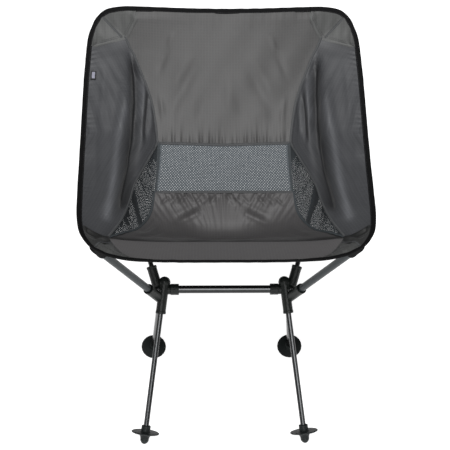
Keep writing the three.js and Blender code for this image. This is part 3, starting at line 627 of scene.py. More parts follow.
SIDES = {"right": 1, "left": -1}


def flip(P, S):
    return P * np.array([S, 1, 1])


# ------------------------------------------------------------------ panels
UPV = (0, -1.0, 0.75)
N_S, N_T = 110, 150
s, t = np.meshgrid(np.linspace(0.0, 0.998, N_S), np.linspace(-0.998, 0.998, N_T), indexing="ij")
P = back_panel(s, t)
U, V = chart(P)
Vmax = V[-1][None, :]
low = Vmax - V
d = np.zeros_like(U)
# gathers above the netting, and smaller ones under the top tape
d += np.exp(-low / 11.0) * (2.3 * smooth_noise(U, 11, 11, 0.8) + 0.6 * smooth_noise(U, 5.5, 12)) * (1 - np.exp(-low / 2.0))
d += np.exp(-V / 12.0) * 0.5 * smooth_noise(U, 17, 13) * (1 - np.exp(-V / 5.0))
d += 1.0 * np.exp(-low / 40.0) * smooth_noise(U, 34, 15) * (1 - np.exp(-low / 6.0))
# soft drag folds running down and outwards
X, Y = front_chart(P)
BACK_FOLDS = [([(207, 48), (193, 72), (179, 98), (168, 128)], 6.5, -2.0, 0.4, 0.4), ([(171, 44), (164, 60), (158, 78)], 3.6, -1.4, 0.4, 0.4),
              ([(196, 50), (182, 74), (171, 98)], 6.0, 1.4, 0.4, 0.4), ([(212, 84), (204, 104), (197, 130)], 6.0, -1.2, 0.5, 0.5),
              ([(160, 88), (163, 108), (164, 128)], 2.6, 1.6, 0.5, 0.5), ([(176, 30), (172, 40), (170, 50)], 2.6, 1.2, 0.5, 0.5)]
d += folds(X, Y, BACK_FOLDS)
d += folds(X, Y, mirrored([([(x + 3, y + 4) for x, y in q], w, h, ta, tb) for q, w, h, ta, tb in BACK_FOLDS], 0.85))
d += folds(X, Y, [([(228, 60), (230, 90), (227, 125)], 6.0, 1.5, 0.5, 0.5)])
d += 0.5 * smooth_noise(U * 0.8 + V * 0.5, 70, 14)
d *= np.clip((1 - np.abs(t)) * 14, 0, 1)
back, _, _ = cloth("sling_back", P, d, RIP, UPV)
AREA = {"back": sheet_area(P)}

N_S, N_T = 190, 150
s, t = np.meshgrid(np.linspace(0.002, 1.0, N_S), np.linspace(-0.998, 0.998, N_T), indexing="ij")
P = seat_panel(s, t)
U, V = chart(P)
d = np.zeros_like(U)
lean = U + np.sign(U) * np.minimum(V, 60) * 0.55 * np.minimum(1, np.abs(U) / 40)
d += np.exp(-V / 26.0) * (2.0 * smooth_noise(lean, 19, 21, 0.9) + 0.8 * smooth_noise(lean, 8, 22)) * (1 - np.exp(-V / 2.5))
X, Y = front_chart(P)
SEAT_FOLDS = [([(171, 196), (166, 200), (160, 206)], 1.5, -2.6, 0.2, 0.5), ([(189, 194), (184, 199), (177, 207)], 1.8, -3.0, 0.2, 0.5),
              ([(220, 193), (215, 198), (209, 206)], 1.7, -2.6, 0.2, 0.5), ([(204, 194), (199, 200), (193, 206)], 1.6, -2.0, 0.2, 0.5),
              ([(180, 194), (175, 199), (168, 207)], 1.8, 2.2, 0.2, 0.5), ([(212, 194), (206, 200), (200, 207)], 1.8, 2.0, 0.2, 0.5),
              ([(203, 202), (190, 209), (172, 218)], 4.0, 3.2, 0.3, 0.4), ([(206, 209), (190, 217), (170, 226)], 3.4, -3.2, 0.3, 0.4),
              ([(158, 212), (152, 220), (146, 226)], 1.6, 1.6, 0.4, 0.4), ([(156, 221), (146, 228), (136, 232)], 1.5, -1.8, 0.4, 0.4),
              ([(163, 224), (150, 232), (134, 236)], 1.6, 1.6, 0.4, 0.4), ([(170, 229), (150, 236), (128, 238)], 1.5, -1.5, 0.4, 0.4)]
d += folds(X, Y, SEAT_FOLDS) + folds(X, Y, mirrored([([(x + 4, y + 1) for x, y in q], w, h, ta, tb) for q, w, h, ta, tb in SEAT_FOLDS[:8]], 0.9)) + folds(X, Y, mirrored(SEAT_FOLDS[8:], 0.9))
d += folds(X, Y, [([(231, 193), (234, 198), (238, 205)], 1.6, -2.4, 0.2, 0.5)])
d += 0.8 * smooth_noise(U * 0.6 - V * 0.3, 60, 24) * np.clip(V / 60, 0, 1)
d *= np.clip((1 - np.abs(t)) * 14, 0, 1)
# the pinched line where the front apron begins
line = 241.0 - 2.6 * np.clip((np.abs(X - 225) - 55) / 55, 0, 1) ** 2
ap = np.clip((Y - line) / 2.0 + 0.5, 0, 1)
d = d * (1 - 0.85 * ap) + 1.2 * ap * np.clip((np.abs(front_in(1.0)[2]) > 0) * (257 - Y) / 12, 0, 1)
d -= 3.0 * np.exp(-((Y - line) / 0.95) ** 2) * np.clip((1 - np.abs(t)) * 8, 0, 1) * (s > 0.5)
d += 1.8 * np.exp(-((Y - line + 4.5) / 3.2) ** 2) * np.clip((1 - np.abs(t)) * 8, 0, 1) * (s > 0.5)
# painted light and shade: the apron is painted lighter, a band above the crease is painted darker and a dark painted
# line runs along the crease
painted_light_and_tone = 1.0 + 0.62 * ap - 0.22 * np.exp(-((Y - line + 5) / 9.0) ** 2) * (1 - ap) - 0.80 * np.exp(-((Y - line) / 1.4) ** 2)
seat, _, _ = cloth("sling_seat", P, d, SEAT_MAT_PAINTED_LIGHT, UPV, painted_light_and_tone=painted_light_and_tone)
AREA["seat"] = sheet_area(P)

wing_objs, patch_objs = {}, {}
for side, S in SIDES.items():
    N_S, N_T = 190, 64
    s, t = np.meshgrid(np.linspace(0.001, 0.999, N_S), np.linspace(0.002, 1.0, N_T), indexing="ij")
    P = wing(s, t)
    V = s * wing_in.length
    W = np.linalg.norm(np.diff(P, axis=1), axis=2)
    U = np.concatenate([np.zeros((N_S, 1)), np.cumsum(W, 1)], 1)
    wide = U[:, -1][:, None]
    d = np.zeros_like(U)
    ends = np.sin(np.pi * np.clip(s, 0, 1)) ** 0.7
    # long folds that run beside the seam, dark valleys in the light
    X, Y = front_chart(P * np.array([-1, 1, 1]))
    X = X - (3.5 if S < 0 else 0.5)
    WING_FOLDS = [([(127, 48), (133, 64), (135, 100), (132, 140), (127, 175), (117, 218)], 5.2, -13.0, 0.15, 0.15),
                  ([(148, 84), (146, 104), (144, 125), (142, 148)], 1.9, -5.0, 0.3, 0.35),
                  ([(143, 74), (141.5, 96), (140, 120), (139, 146)], 2.2, 2.6, 0.3, 0.35),
                  ([(151, 100), (149.5, 118), (148, 138)], 1.5, 2.0, 0.3, 0.35),
                  ([(123, 66), (122, 105), (115, 140), (109, 180), (100, 222)], 6.5, 9.0, 0.3, 0.15),
                  ([(103, 52), (101, 90), (97, 140)], 4.0, -1.8, 0.4, 0.4),
                  ([(128, 120), (127, 150), (124, 180)], 1.8, 2.0, 0.4, 0.4),
                  ([(93, 120), (92, 160), (90, 205)], 3.5, 1.3, 0.4, 0.4)]
    if S > 0:
        WING_FOLDS = [([(x + 1.0 * math.sin(y * 0.05), y + 2) for x, y in q], w, h * 0.93, ta, tb) for q, w, h, ta, tb in WING_FOLDS]
    d += folds(X, Y, WING_FOLDS)
    d += 0.7 * smooth_noise(U * 1.0 + V * 0.05, 22, 33) * ends
    d += np.exp(-(wide - U) / 7.0) * 0.55 * smooth_noise(V, 15, 34)
    d += np.exp(-U / 5.0) * 0.5 * smooth_noise(V, 12, 35)
    edge = np.clip(U / 6, 0, 1) * np.clip((wide - U) / 5 + 0.25, 0, 1)
    d *= edge
    # painted shade darkens the cloth along the deep fold valleys and a painted highlight lightens it on the ridge, with
    # random streaks of tone on top
    painted_light_and_tone = 1.0 + folds(X, Y, [([(131, 50), (133, 76), (134, 100), (132.5, 130), (130, 152)], 3.8, -0.78, 0.2, 0.3),
                               ([(131, 122), (129, 148), (125.5, 180), (119, 214)], 6.5, -0.68, 0.3, 0.15),
                               ([(144, 84), (145, 100), (142.5, 128), (141, 148)], 2.0, -0.62, 0.3, 0.3),
                               ([(146, 160), (145, 180), (140, 200)], 1.8, -0.30, 0.3, 0.3),
                               ([(124, 84), (122, 106), (115.5, 140), (109.5, 180), (100, 224)], 4.5, 0.62, 0.3, 0.1),
                               ([(112, 160), (108, 190), (101, 224)], 4.5, 0.40, 0.35, 0.1),
                               ([(140, 76), (140.5, 100), (137, 124)], 2.6, 0.40, 0.3, 0.3)])
    painted_light_and_tone *= 0.98 * (1 + 0.075 * smooth_noise(U + 0.02 * V, 10, 36) * ends + 0.04 * smooth_noise(U, 4.5, 37) * ends)
    o, _, _ = cloth("sling_wing_" + side, flip(P, S), d, WING_MAT_PAINTED_SHADE, (-S * 0.4, -0.8, 0.6), uv_mm=(U, V), painted_light_and_tone=painted_light_and_tone)
    wing_objs[side] = o
    AREA["wing"] = sheet_area(P)

# ------------------------------------------------------------------ netting
def net(name, F, n_rows, n_cols, mat, hole, thick, wrinkle, up):
    """Open diamond netting over the surface F(s, t): a knit sheet with one diamond hole in each cell, its strands raised."""
    I, J = np.meshgrid(np.arange(n_rows + 1), np.arange(n_cols + 1), indexing="ij")
    s, t = I / n_rows, J / n_cols
    P = F(s, t)
    e = 1e-3
    N = norm(np.cross(F(np.clip(s + e, 0, 1), t) - F(np.clip(s - e, 0, 1), t), F(s, np.clip(t + e, 0, 1)) - F(s, np.clip(t - e, 0, 1))))
    N *= np.sign((N * np.array(up)).sum(-1))[..., None]
    P = P + N * wrinkle(s, t)[..., None]
    verts, faces, ids = [], [], {}

    def corner(i, j):
        if (i, j) not in ids:
            ids[(i, j)] = len(verts)
            verts.append(P[i, j] + N[i, j] * thick)
        return ids[(i, j)]

    for i in range(1, n_rows):
        for j in range(1, n_cols):
            if (i + j) % 2:
                out = [(i - 1, j), (i, j + 1), (i + 1, j), (i, j - 1)]
                c = sum(P[q] for q in out) / 4
                o = [corner(*q) for q in out]
                k = len(verts)
                for q in out:
                    verts.append(c + (P[q] - c) * hole)
                for a in range(4):
                    b = (a + 1) % 4
                    faces.append((o[a], o[b], k + b, k + a))
    return add_mesh(name, world(np.array(verts)), faces, mat, smooth=True)


net_lumbar = net("net_lumbar", lambda s, t: mesh_panel(s, t * 2 - 1), 36, 102, NET, 0.20, 1.0,
                 lambda s, t: (1.3 * smooth_noise(t * 248, 26, 41) * np.sin(np.pi * s) + 0.9 * smooth_noise(t * 248 + s * 60, 60, 42)) * np.sin(np.pi * np.clip(s, 0, 1)), UPV)
net_side = {}
for side, S in SIDES.items():
    net_side[side] = net("net_gusset_" + side, lambda s, t: flip(gusset(0.012 + s * 0.955, t), S), 150, 34, NET_FINE, 0.19, 0.45,
                         lambda s, t: (2.4 * smooth_noise(s * 260, 46, 43) + 1.2 * smooth_noise(s * 260, 17, 44)) * np.sin(np.pi * t) * np.sin(np.pi * s), (-S * 0.7, -0.4, 0.6))

# ------------------------------------------------------------------ corner patches
for side, S in SIDES.items():
    for which, F, up in (("top", top_patch, (-S * 0.3, -0.9, 0.4)), ("front", low_patch, (-S * 0.2, -0.5, 0.85))):
        s, t = np.meshgrid(np.linspace(0.0, 1.0, 70), np.linspace(0.0, 1.0, 36), indexing="ij")
        wide = np.linalg.norm(F(s[:, :1], s[:, :1] * 0) - F(s[:, :1], s[:, :1] * 0 + 1), axis=-1)
        t = t + (t - 1) * 5.0 / np.maximum(wide, 8)
        P = F(s, t)
        X, Y = front_chart(P * np.array([-1, 1, 1]))
        d = 0.9 + 0.5 * smooth_noise(s * 90 + t * 20, 24, 51) * np.sin(np.pi * np.clip(t, 0, 1))
        if which == "front":
            d += folds(X, Y, [([(84, 226), (92, 234), (99, 240)], 5.5, -5.0, 0.2, 0.3), ([(108, 241), (99, 245), (92, 247)], 1.3, -1.6, 0.2, 0.2), ([(112, 250), (104, 249)], 4.0, 1.2, 0.3, 0.3)]) * np.clip((1 - t) * 6, 0, 1) * np.clip(t * 4, 0, 1)
        d = d * np.clip((t + 0.1) * 12, 0.5, 1)
        Pm = flip(P, S)
        W = np.linalg.norm(np.diff(P, axis=1), axis=2)
        painted_light_and_tone = np.ones_like(s)
        # painted shade over the wing-side half of each front corner patch; the top patches stay unshaded
        if which == "front":
            painted_light_and_tone = 1.0 - 0.78 * np.clip((0.53 - s) / 0.04, 0, 1) * (0.45 + 0.55 * np.clip(1.2 - t, 0, 1))
        o, _, _ = cloth(f"sling_corner_{which}_{side}", Pm, d, PATCH_MAT_PAINTED_SHADE, up, uv_mm=(P[..., 0], P[..., 2] + P[..., 1] * 0.3), painted_light_and_tone=painted_light_and_tone)
        patch_objs[(which, side)] = o
        AREA["patch_" + which] = sheet_area(P)

# ------------------------------------------------------------------ edge tape
PROF = [(0.0, -0.15), (0.02, 0.45), (0.12, 0.92), (0.30, 1.0), (0.52, 0.86), (0.70, 0.66), (0.78, 0.72), (0.90, 0.74), (0.985, 0.6), (1.0, 0.0),
        (0.985, -0.6), (0.90, -0.74), (0.78, -0.72), (0.70, -0.66), (0.52, -0.86), (0.30, -1.0), (0.12, -0.92), (0.02, -0.45)]
TH = 1.5


def tape_points(run, w, S, n, flip_n, seed):
    s = np.linspace(0, 1, n)
    p, d, tan = run(s), w(s), run.tangent(s)
    nn = norm(np.cross(tan, d)) * flip_n
    wob = smooth_noise(s * run.length, 30, seed)[:, None]
    p = p + nn * wob * 0.22 + d * wob * 0.15
    R = np.stack([p + d * (u * TAPE_W) + nn * (v * TH) for u, v in PROF], 1)
    return flip(R, S), flip(p, S), flip(d, S), flip(nn, S)


def tape_obj(name, parts, mat):
    R = np.concatenate(parts, 0)
    n, m = R.shape[:2]
    f = grid_faces(n, m, close=True)
    f.append(tuple(range(m)))
    f.append(tuple((n - 1) * m + k for k in range(m))[::-1])
    me_f = f
    # outward check on the first quad
    c = R[1].mean(0)
    q = [R.reshape(-1, 3)[i] for i in f[m * 1]]
    nrm = np.cross(q[1] - q[0], q[2] - q[0])
    if (nrm * (np.mean(q, 0) - c)).sum() < 0:
        me_f = [x[::-1] for x in f]
    return add_mesh(name, world(R.reshape(-1, 3)), me_f, mat)


tape_rows = {"frame": [], }
T = {}
topR = tape_points(top_edge, w_top, 1, 60, 1, 61)
topL = tape_points(top_edge, w_top, -1, 60, 1, 62)
T["top"] = tape_obj("tape_top", [topL[0][::-1][:-1], topR[0]], TAPE)
frR = tape_points(front_edge, w_front, 1, 60, 1, 63)
frL = tape_points(front_edge, w_front, -1, 60, 1, 64)
T["front"] = tape_obj("tape_front", [frR[0][:-1], frL[0][::-1]], TAPE)
rows_of = {}


def row_line(pt, u, lift=0.9):
    _, p, d, nn = pt
    up = nn * np.sign((nn * np.array(UPV)).sum(-1))[:, None]
    return (p + d * (u * TAPE_W) + up * lift, up)


rows_frame = [row_line(x, 0.84, 1.05) for x in (topR, topL, frR, frL)]
for side, S in SIDES.items():
    sd = tape_points(side_edge, w_side, S, 150, 1, 65)
    T["side_" + side] = tape_obj("tape_side_" + side, [sd[0]], TAPE)
    rows_frame.append(row_line(sd, 0.84, 1.05))
    for which, run, w in (("top", top_corner, w_top_corner), ("front", low_corner, w_low_corner)):
        c = tape_points(run, w, S, 60, 1, 66)
        T[f"corner_{which}_{side}"] = tape_obj(f"tape_corner_{which}_{side}", [c[0]], TAPE)
        rows_of[(which, side)] = [row_line(c, 0.84, 1.05)]

# ------------------------------------------------------------------ seams
def seam_line(F, par, e=1e-3, up=UPV):
    """Points, side direction and normal along a line of a surface, par giving (s, t) arrays."""
    s, t = par
    p = F(s, t)
    a = F(np.clip(s + e, 0, 1), t) - F(np.clip(s - e, 0, 1), t)
    b = F(s, np.clip(t + e, -1, 1)) - F(s, np.clip(t - e, -1, 1))
    n = norm(np.cross(a, b))
    n *= np.sign((n * np.array(up)).sum(-1))[:, None]
    tan = norm(np.gradient(p, axis=0))
    side = norm(np.cross(n, tan))
    return p, side, n


seams = []
thr = []
thr_dark = []
k = np.linspace(0, 1, 160)
one = np.ones_like(k)
# across the top and bottom of the netting
for nm, F, ss in (("net_top", mesh_panel, 0.0), ("net_low", mesh_panel, 1.0)):
    p, sd, n = seam_line(F, (one * ss, k * 2 - 1))
    seams.append(strip("seam_" + nm, p, sd, n, 5.0, 1.0, SEAM, lift=0.2, wave=0.25, seed=71))
    for off in (-1.6, 1.6):
        thr_dark.append((p + sd * off + n * 1.15, n))
for side, S in SIDES.items():
    up = (-S * 0.3, -0.8, 0.6)
    # wing seam beside the back panel: from the corner patch to the point of the gusset
    q = ByLength(dense(SEAM_UP))(k)
    tan = norm(np.gradient(q, axis=0))
    nb = norm(np.array([-0.25, -0.80, 0.55]))
    sd = norm(np.cross(nb, tan))
    n = norm(np.cross(tan, sd))
    q2, sd2, n2 = flip(q, S), flip(sd, S), flip(n, S)
    seams.append(strip("seam_back_" + side, q2, sd2, n2, 4.2, 1.3, SEAM, lift=0.2, wave=0.2, seed=72))
    thr_dark.append((q2 + sd2 * 1.2 + n2 * 1.45, n2))
    # darker sewn strips beside the netting, down to the seat
    q = ByLength(dense(SEAM_MESH))(k)
    tan = norm(np.gradient(q, axis=0))
    nb = norm(np.array([-0.35, -0.93, 0.1]))
    sd = norm(np.cross(nb, tan))
    n = norm(np.cross(tan, sd))
    q2, sd2, n2 = flip(q, S), flip(sd, S), flip(n, S)
    seams.append(strip("seam_net_" + side, q2 + flip(np.array([-3.5, 0, 0]), S), sd2, n2, 7.5, 0.8, SEAM_DARK, lift=0.3, wave=0.2, seed=73))
    for off in (-2.6, 2.6):
        thr.append((q2 + flip(np.array([-3.5, 0, 0]), S) + sd2 * off + n2 * 1.0, n2))
    # seat beside the gusset, and the wing above it
    q = ByLength(dense(SEAM_SEAT))(k)
    tan = norm(np.gradient(q, axis=0))
    nb = norm(np.array([-0.5, -0.1, 0.85]))
    sd = norm(np.cross(nb, tan))
    n = norm(np.cross(tan, sd))
    q2, sd2, n2 = flip(q, S), flip(sd, S), flip(n, S)
    seams.append(strip("seam_seat_" + side, q2, sd2, n2, 4.6, 1.3, SEAM_DARK, lift=0.2, wave=0.3, seed=74))
    thr.append((q2 + sd2 * 1.4 + n2 * 1.5, n2))
    q = ByLength(dense(SEAM_WING))(k)
    tan = norm(np.gradient(q, axis=0))
    nb = norm(np.array([-0.6, -0.5, 0.6]))
    sd = norm(np.cross(nb, tan))
    n = norm(np.cross(tan, sd))
    q2, sd2, n2 = flip(q, S), flip(sd, S), flip(n, S)
    seams.append(strip("seam_wing_" + side, q2, sd2, n2, 3.6, 1.0, SEAM, lift=0.15, wave=0.3, seed=75))
    thr_dark.append((q2 + n2 * 1.2, n2))

for o in seams:
    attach(o, "frame")

st_frame = stitches("stitching_tape", rows_frame, THREAD_DARK)
st_seam = stitches("stitching_seams", thr_dark, THREAD_DARK, length=2.2, gap=1.1)
st_seam2 = stitches("stitching_gussets", thr, THREAD, length=2.2, gap=1.1)
for o in (st_frame, st_seam, st_seam2):
    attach(o, "frame")

# ------------------------------------------------------------------ corner pockets
def pocket(name, tip, axis, r0, length, S, sheetdir):
    """Sewn pocket of doubled black cloth round a pole end, a little flattened, with a hemmed mouth."""
    axis = norm(axis)
    up = norm(sheetdir - axis * (sheetdir @ axis))
    sidev = norm(np.cross(axis, up))
    prof = [(0.30, 3.0), (0.72, 2.4), (0.95, 0.4), (1.04, -3.5), (1.06, -9), (1.05, -16), (1.04, -22), (1.08, -24.0), (1.10, -26.5), (1.09, -29.0), (1.03, -29.8), (0.93, -29.4), (0.93, -24), (0.93, -8)]
    m = 40
    rings = []
    for k, (r, u) in enumerate(prof):
        a = np.linspace(0, 2 * np.pi, m, endpoint=False)
        fl = 1.0 + 0.10 * np.cos(a) ** 2
        crease = 0.25 * smooth_noise(a * 8 + u * 0.2, 9, 81) * (1 if k < 12 else 0)
        rr = r0 * r * fl + crease
        rings.append(tip + axis * (u * length / 30) + np.outer(rr * np.cos(a), sidev) + np.outer(rr * np.sin(a), up))
    R = np.stack(rings, 0)
    verts = list(flip(R.reshape(-1, 3), S))
    f = grid_faces(len(prof), m, close=True)
    verts.append(flip(tip + axis * 3.3, S))
    c = len(verts) - 1
    for j in range(m):
        f.append((c, j, (j + 1) % m))
    o = add_mesh(name, world(np.array(verts)), f, TAPE)
    a = np.linspace(0, 2 * np.pi, 60)
    ln = []
    for u in (-23.2, -28.6):
        rr = r0 * 1.09 * (1 + 0.10 * np.cos(a) ** 2) + 0.05
        pts = tip + axis * (u * length / 30) + np.outer(rr * np.cos(a), sidev) + np.outer(rr * np.sin(a), up)
        nn = np.outer(np.cos(a), sidev) + np.outer(np.sin(a), up)
        ln.append((flip(pts, S), flip(nn, S)))
    return o, ln


L = np.linalg.norm(POLE_TIP - POLE_ROOT)
POLE_CTRL = POLE_ROOT + norm(POLE_DIR) * L * 0.5
POLE_END = norm(POLE_TIP - POLE_CTRL)
ARM_END = norm(ARM_TIP - ARM_ROOT)


def web(name, pts_a, pts_b, S, thick=1.2, bow=0.0, up=(0, 0, 1)):
    """A doubled flap of cloth between two lines of points."""
    n = 14
    rows = []
    for k in np.linspace(0, 1, n):
        rows.append(pts_a * (1 - k) + pts_b * k + np.array(up) * bow * math.sin(math.pi * k))
    P = np.stack(rows, 0)
    N = normals(P)
    top, low = P + N * thick / 2, P - N * thick / 2
    n, m = P.shape[:2]
    verts = np.concatenate([flip(top.reshape(-1, 3), S), flip(low.reshape(-1, 3), S)])
    f = grid_faces(n, m) + [q[::-1] for q in grid_faces(n, m, off=n * m)]
    for j in range(m - 1):
        f.append((j, j + 1, n * m + j + 1, n * m + j))
        a = (n - 1) * m
        f.append((a + j + 1, a + j, n * m + a + j, n * m + a + j + 1))
    for i in range(n - 1):
        f.append(((i + 1) * m, i * m, n * m + i * m, n * m + (i + 1) * m))
        a = m - 1
        f.append((i * m + a, (i + 1) * m + a, n * m + (i + 1) * m + a, n * m + i * m + a))
    return add_mesh(name, world(verts), f, TAPE)


for side, S in SIDES.items():
    for which, tip, ax, r0, sd in (("front", ARM_TIP, ARM_END, 7.9, np.array([0.1, -0.35, 0.9])), ("top", POLE_TIP, POLE_END, 6.1, np.array([-0.1, -0.9, 0.45]))):
        body = f"corner_{which}_{side}"
        o, ln = pocket(f"pocket_{which}_{side}", tip, ax, r0, 30, S, sd)
        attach(o, body)
        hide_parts(f"corner_pocket_{which}_{side}")
        # flap that joins the pocket to the underside of the corner
        F = low_patch if which == "front" else top_patch
        up = norm(sd - ax * (sd @ ax))
        sv = norm(np.cross(ax, up))
        w = np.linspace(-0.9, 0.9, 9)[:, None]
        back_line = tip - ax * 24 + up * (r0 * 0.9) + sv * (w * r0 * 0.9)
        # where it meets the cloth, nearest points under the tape of the corner
        run, wv = (low_corner, w_low_corner) if which == "front" else (top_corner, w_top_corner)
        c0 = np.argmin(np.linalg.norm(run(np.linspace(0, 1, 200)) - (tip + ax * 14), axis=1)) / 199
        ss = np.clip(c0 + np.linspace(-0.06, 0.06, 9), 0, 1)
        edge_pts = run(ss) + wv(ss) * 3.0 - up * 1.6
        if ((edge_pts[-1] - edge_pts[0]) @ sv) < 0:
            edge_pts = edge_pts[::-1]
        front_line = tip + ax * 1.5 + up * (r0 * 0.55) + sv * (w * r0 * 0.6)
        fl = web(f"pocket_flap_{which}_{side}", front_line, edge_pts, S, 1.3)
        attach(fl, body)
        s2 = stitches(f"stitching_pocket_{which}_{side}", ln, THREAD, length=2.2, gap=1.1)
        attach(s2, body)

# stitching and crossed tack on the corner patches
def arc_rows(F, S, up, offs):
    rows = []
    for off in offs:
        ss = np.linspace(0.03, 0.97, 120)
        e = 1e-3
        p0, p1 = F(ss, ss * 0), F(ss, ss * 0 + 1.0)
        d = norm(p1 - p0)
        Lw = np.linalg.norm(p1 - p0, axis=1)
        tt = off / np.maximum(6, Lw)
        p = F(ss, tt)
        a = F(ss + e, tt) - F(ss - e, tt)
        b = F(ss, tt + 0.01) - F(ss, tt)
        n = norm(np.cross(a, b))
        n *= np.sign((n * np.array(up)).sum(-1))[:, None]
        rows.append((flip(p + n * 1.0, S), flip(n, S)))
    return rows


for side, S in SIDES.items():
    for which, F, up in (("top", top_patch, (-0.3, -0.9, 0.4)), ("front", low_patch, (-0.2, -0.5, 0.85))):
        body = f"corner_{which}_{side}"
        rows = arc_rows(F, S, up, (1.6, 5.0)) + rows_of[(which, side)]
        # the seam that runs from the point of the corner to the wing seam
        mid = 0.5 if which == "top" else 0.52
        tt = np.linspace(0.02, 0.98, 60)
        sm = np.full_like(tt, mid)
        p = F(sm, tt)
        e = 1e-3
        n = norm(np.cross(F(sm + e, tt) - F(sm - e, tt), F(sm, np.clip(tt + e, 0, 1)) - F(sm, np.clip(tt - e, 0, 1))))
        n *= np.sign((n * np.array(up)).sum(-1))[:, None]
        tan = norm(np.gradient(p, axis=0))
        sd = norm(np.cross(n, tan))
        so = strip(f"seam_corner_{which}_{side}", flip(p, S), flip(sd, S), flip(n, S), 3.4, 0.9, SEAM, lift=0.85, wave=0.1, seed=77)
        rows.append((flip(p + sd * 1.2 + n * 1.95, S), flip(n, S)))
        st = stitches(f"stitching_corner_{which}_{side}", rows, THREAD_DARK, length=2.2, gap=1.1)
        run = top_corner if which == "top" else low_corner
        # the ends of its tape, their middle, the chord and the reach of the corner are worked out here, but nothing
        # below uses them
        ends_ = [flip(run(0.0), S), flip(run(1.0), S)]
        mid_ = (ends_[0] + ends_[1]) / 2
        chord = norm(ends_[1] - ends_[0])
        reach = flip(run(0.5), S) - mid_
        reach = reach - chord * (reach @ chord)
        for o in (patch_objs[(which, side)], so, st, T[f"corner_{which}_{side}"]):
            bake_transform(o)
        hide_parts(f"corner_patch_{which}_{side}")
        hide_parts(f"edge_tape_corner_{which}_{side}")

# ------------------------------------------------------------------ label
lab_obj = frame["nodes"]["loop_label"]
lv = np.array([lab_obj.matrix_world @ v.co for v in lab_obj.data.vertices])
lc = (lv.min(0) + lv.max(0)) / 2
_, _, axes = np.linalg.svd(lv - lv.mean(0))
lc = lv.mean(0)
half = [np.abs((lv - lc) @ axes[k]).max() for k in range(2)]
LABEL, nt_l, bl = new_mat("label_cloth")
geo = nt_l.nodes.new("ShaderNodeTexCoord")
mask = None
inv = lab_obj.matrix_world.inverted()
for k in range(2):
    ax_o = inv.to_3x3() @ Vector(axes[k])
    c_o = inv @ Vector(lc)
    dot = nt_l.nodes.new("ShaderNodeVectorMath")
    dot.operation = "DOT_PRODUCT"
    link(nt_l, geo.outputs["Object"], dot.inputs[0])
    dot.inputs[1].default_value = tuple(ax_o)
    d_ = math_node(nt_l, "ABSOLUTE", math_node(nt_l, "SUBTRACT", dot.outputs["Value"], float(Vector(ax_o).dot(c_o))))
    g_ = math_node(nt_l, "GREATER_THAN", d_, float(half[k]) - 0.0021)
    mask = g_ if mask is None else math_node(nt_l, "MAXIMUM", mask, g_)
ln_ = nt_l.nodes.new("ShaderNodeTexNoise")
ln_.inputs["Scale"].default_value = 1800
link(nt_l, geo.outputs["Object"], ln_.inputs["Vector"])
inner = mix_col(nt_l, ln_.outputs[0], (0.15, 0.15, 0.19, 1), (0.27, 0.27, 0.33, 1))
link(nt_l, mix_col(nt_l, mask, inner, (0.006, 0.006, 0.007, 1)), bl.inputs["Base Color"])
bl.inputs["Roughness"].default_value = 0.75

for o, nodes in ((back, ["back_panel"]), (seat, ["seat_panel"]), (net_lumbar, ["lumbar_mesh"]), (T["top"], ["edge_tape_top"]), (T["front"], ["edge_tape_front"])):
    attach(o, "frame")
    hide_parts(*nodes)
for side in SIDES:
    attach(wing_objs[side], "frame")
    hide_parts("wing_" + side)
    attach(net_side[side], "frame")
    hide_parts("mesh_gusset_" + side)
    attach(T["side_" + side], "frame")
    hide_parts("edge_tape_side_" + side)
frame["nodes"]["loop_label"].data.materials.clear()
frame["nodes"]["loop_label"].data.materials.append(LABEL)

# ------------------------------------------------------------------ floor, light and camera
bpy.ops.mesh.primitive_plane_add(size=12, location=(0, 0, -0.0005))
floor = bpy.context.object
floor.name = "floor"
fm, nt, b = new_mat("floor_white")
b.inputs["Base Color"].default_value = (0.5, 0.5, 0.5, 1)
b.inputs["Roughness"].default_value = 0.9
b.inputs["Emission Color"].default_value = (1, 1, 1, 1)
b.inputs["Emission Strength"].default_value = 0.95
floor.data.materials.append(fm)


def area_light(name, loc, target, size, power, color=(1, 1, 1)):
    l = bpy.data.lights.new(name, "AREA")
    l.shape = "RECTANGLE"
    l.size, l.size_y = size
    l.energy = power
    l.color = color
    o = bpy.data.objects.new(name, l)
    o.location = loc
    o.rotation_euler = (Vector(target) - Vector(loc)).to_track_quat("-Z", "Y").to_euler()
    bpy.context.scene.collection.objects.link(o)
    o.visible_camera = False
    return o


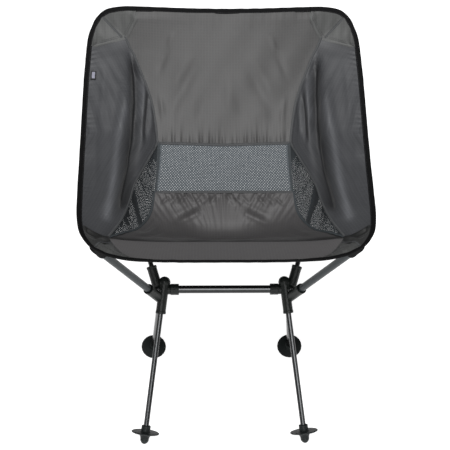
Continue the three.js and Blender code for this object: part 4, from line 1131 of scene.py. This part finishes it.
sun = bpy.data.lights.new("key", "SUN")
sun.energy = 3.0
sun.angle = math.radians(20)
so_ = bpy.data.objects.new("key", sun)
so_.rotation_euler = Vector((0.10, 1.0, -1.25)).to_track_quat("-Z", "Y").to_euler()
bpy.context.scene.collection.objects.link(so_)
area_light("front_panel", (0.1, -3.0, 1.15), (0, 0, 0.3), (0.8, 1.5), 40)
area_light("fill_left", (-1.7, -1.3, 1.0), (0, 0, 0.35), (0.5, 1.2), 2.5)
area_light("fill_right", (1.7, -1.5, 0.9), (0, 0, 0.35), (0.5, 1.2), 2)
w = bpy.data.worlds.new("studio") if not bpy.context.scene.world else bpy.context.scene.world
bpy.context.scene.world = w
w.use_nodes = True
bg = w.node_tree.nodes["Background"]
bg.inputs[0].default_value = (1, 1, 1, 1)
bg.inputs[1].default_value = 0.06
# the wall behind is white to the eye, and gives the object little light
bg2 = w.node_tree.nodes.new("ShaderNodeBackground")
bg2.inputs[0].default_value = (1, 1, 1, 1)
bg2.inputs[1].default_value = 1.0
lp = w.node_tree.nodes.new("ShaderNodeLightPath")
mx = w.node_tree.nodes.new("ShaderNodeMixShader")
w.node_tree.links.new(lp.outputs["Is Camera Ray"], mx.inputs[0])
w.node_tree.links.new(bg.outputs[0], mx.inputs[1])
w.node_tree.links.new(bg2.outputs[0], mx.inputs[2])
w.node_tree.links.new(mx.outputs[0], w.node_tree.nodes["World Output"].inputs[0])
bpy.context.scene.view_settings.view_transform = "Standard"

cam = bpy.data.cameras.new("cam")
cam.lens = 80
cam.sensor_width = 36
co = bpy.data.objects.new("cam", cam)
co.matrix_world = (Matrix.Translation((-0.0393, -1.5755 - CENTRE_Y / 1000, 1.0576 - GROUND / 1000)) @ Matrix.Rotation(math.radians(-1.43), 4, "Z")
                   @ Matrix.Rotation(math.radians(66.5), 4, "X") @ Matrix.Rotation(math.radians(0.46), 4, "Z"))
bpy.context.scene.collection.objects.link(co)
bpy.context.scene.camera = co


def declare(F, t0, t1):
    a, b = np.meshgrid(np.linspace(0, 1, 120), np.linspace(t0, t1, 120), indexing="ij")
    G = F(a, b)


declare(back_panel, -1, 1)
declare(seat_panel, -1, 1)
declare(mesh_panel, -1, 1)
for side, S in SIDES.items():
    declare(wing, 0, 1)
    declare(gusset, 0, 1)
    for which, F in (("top", top_patch), ("front", low_patch)):
        declare(F, 0, 1)
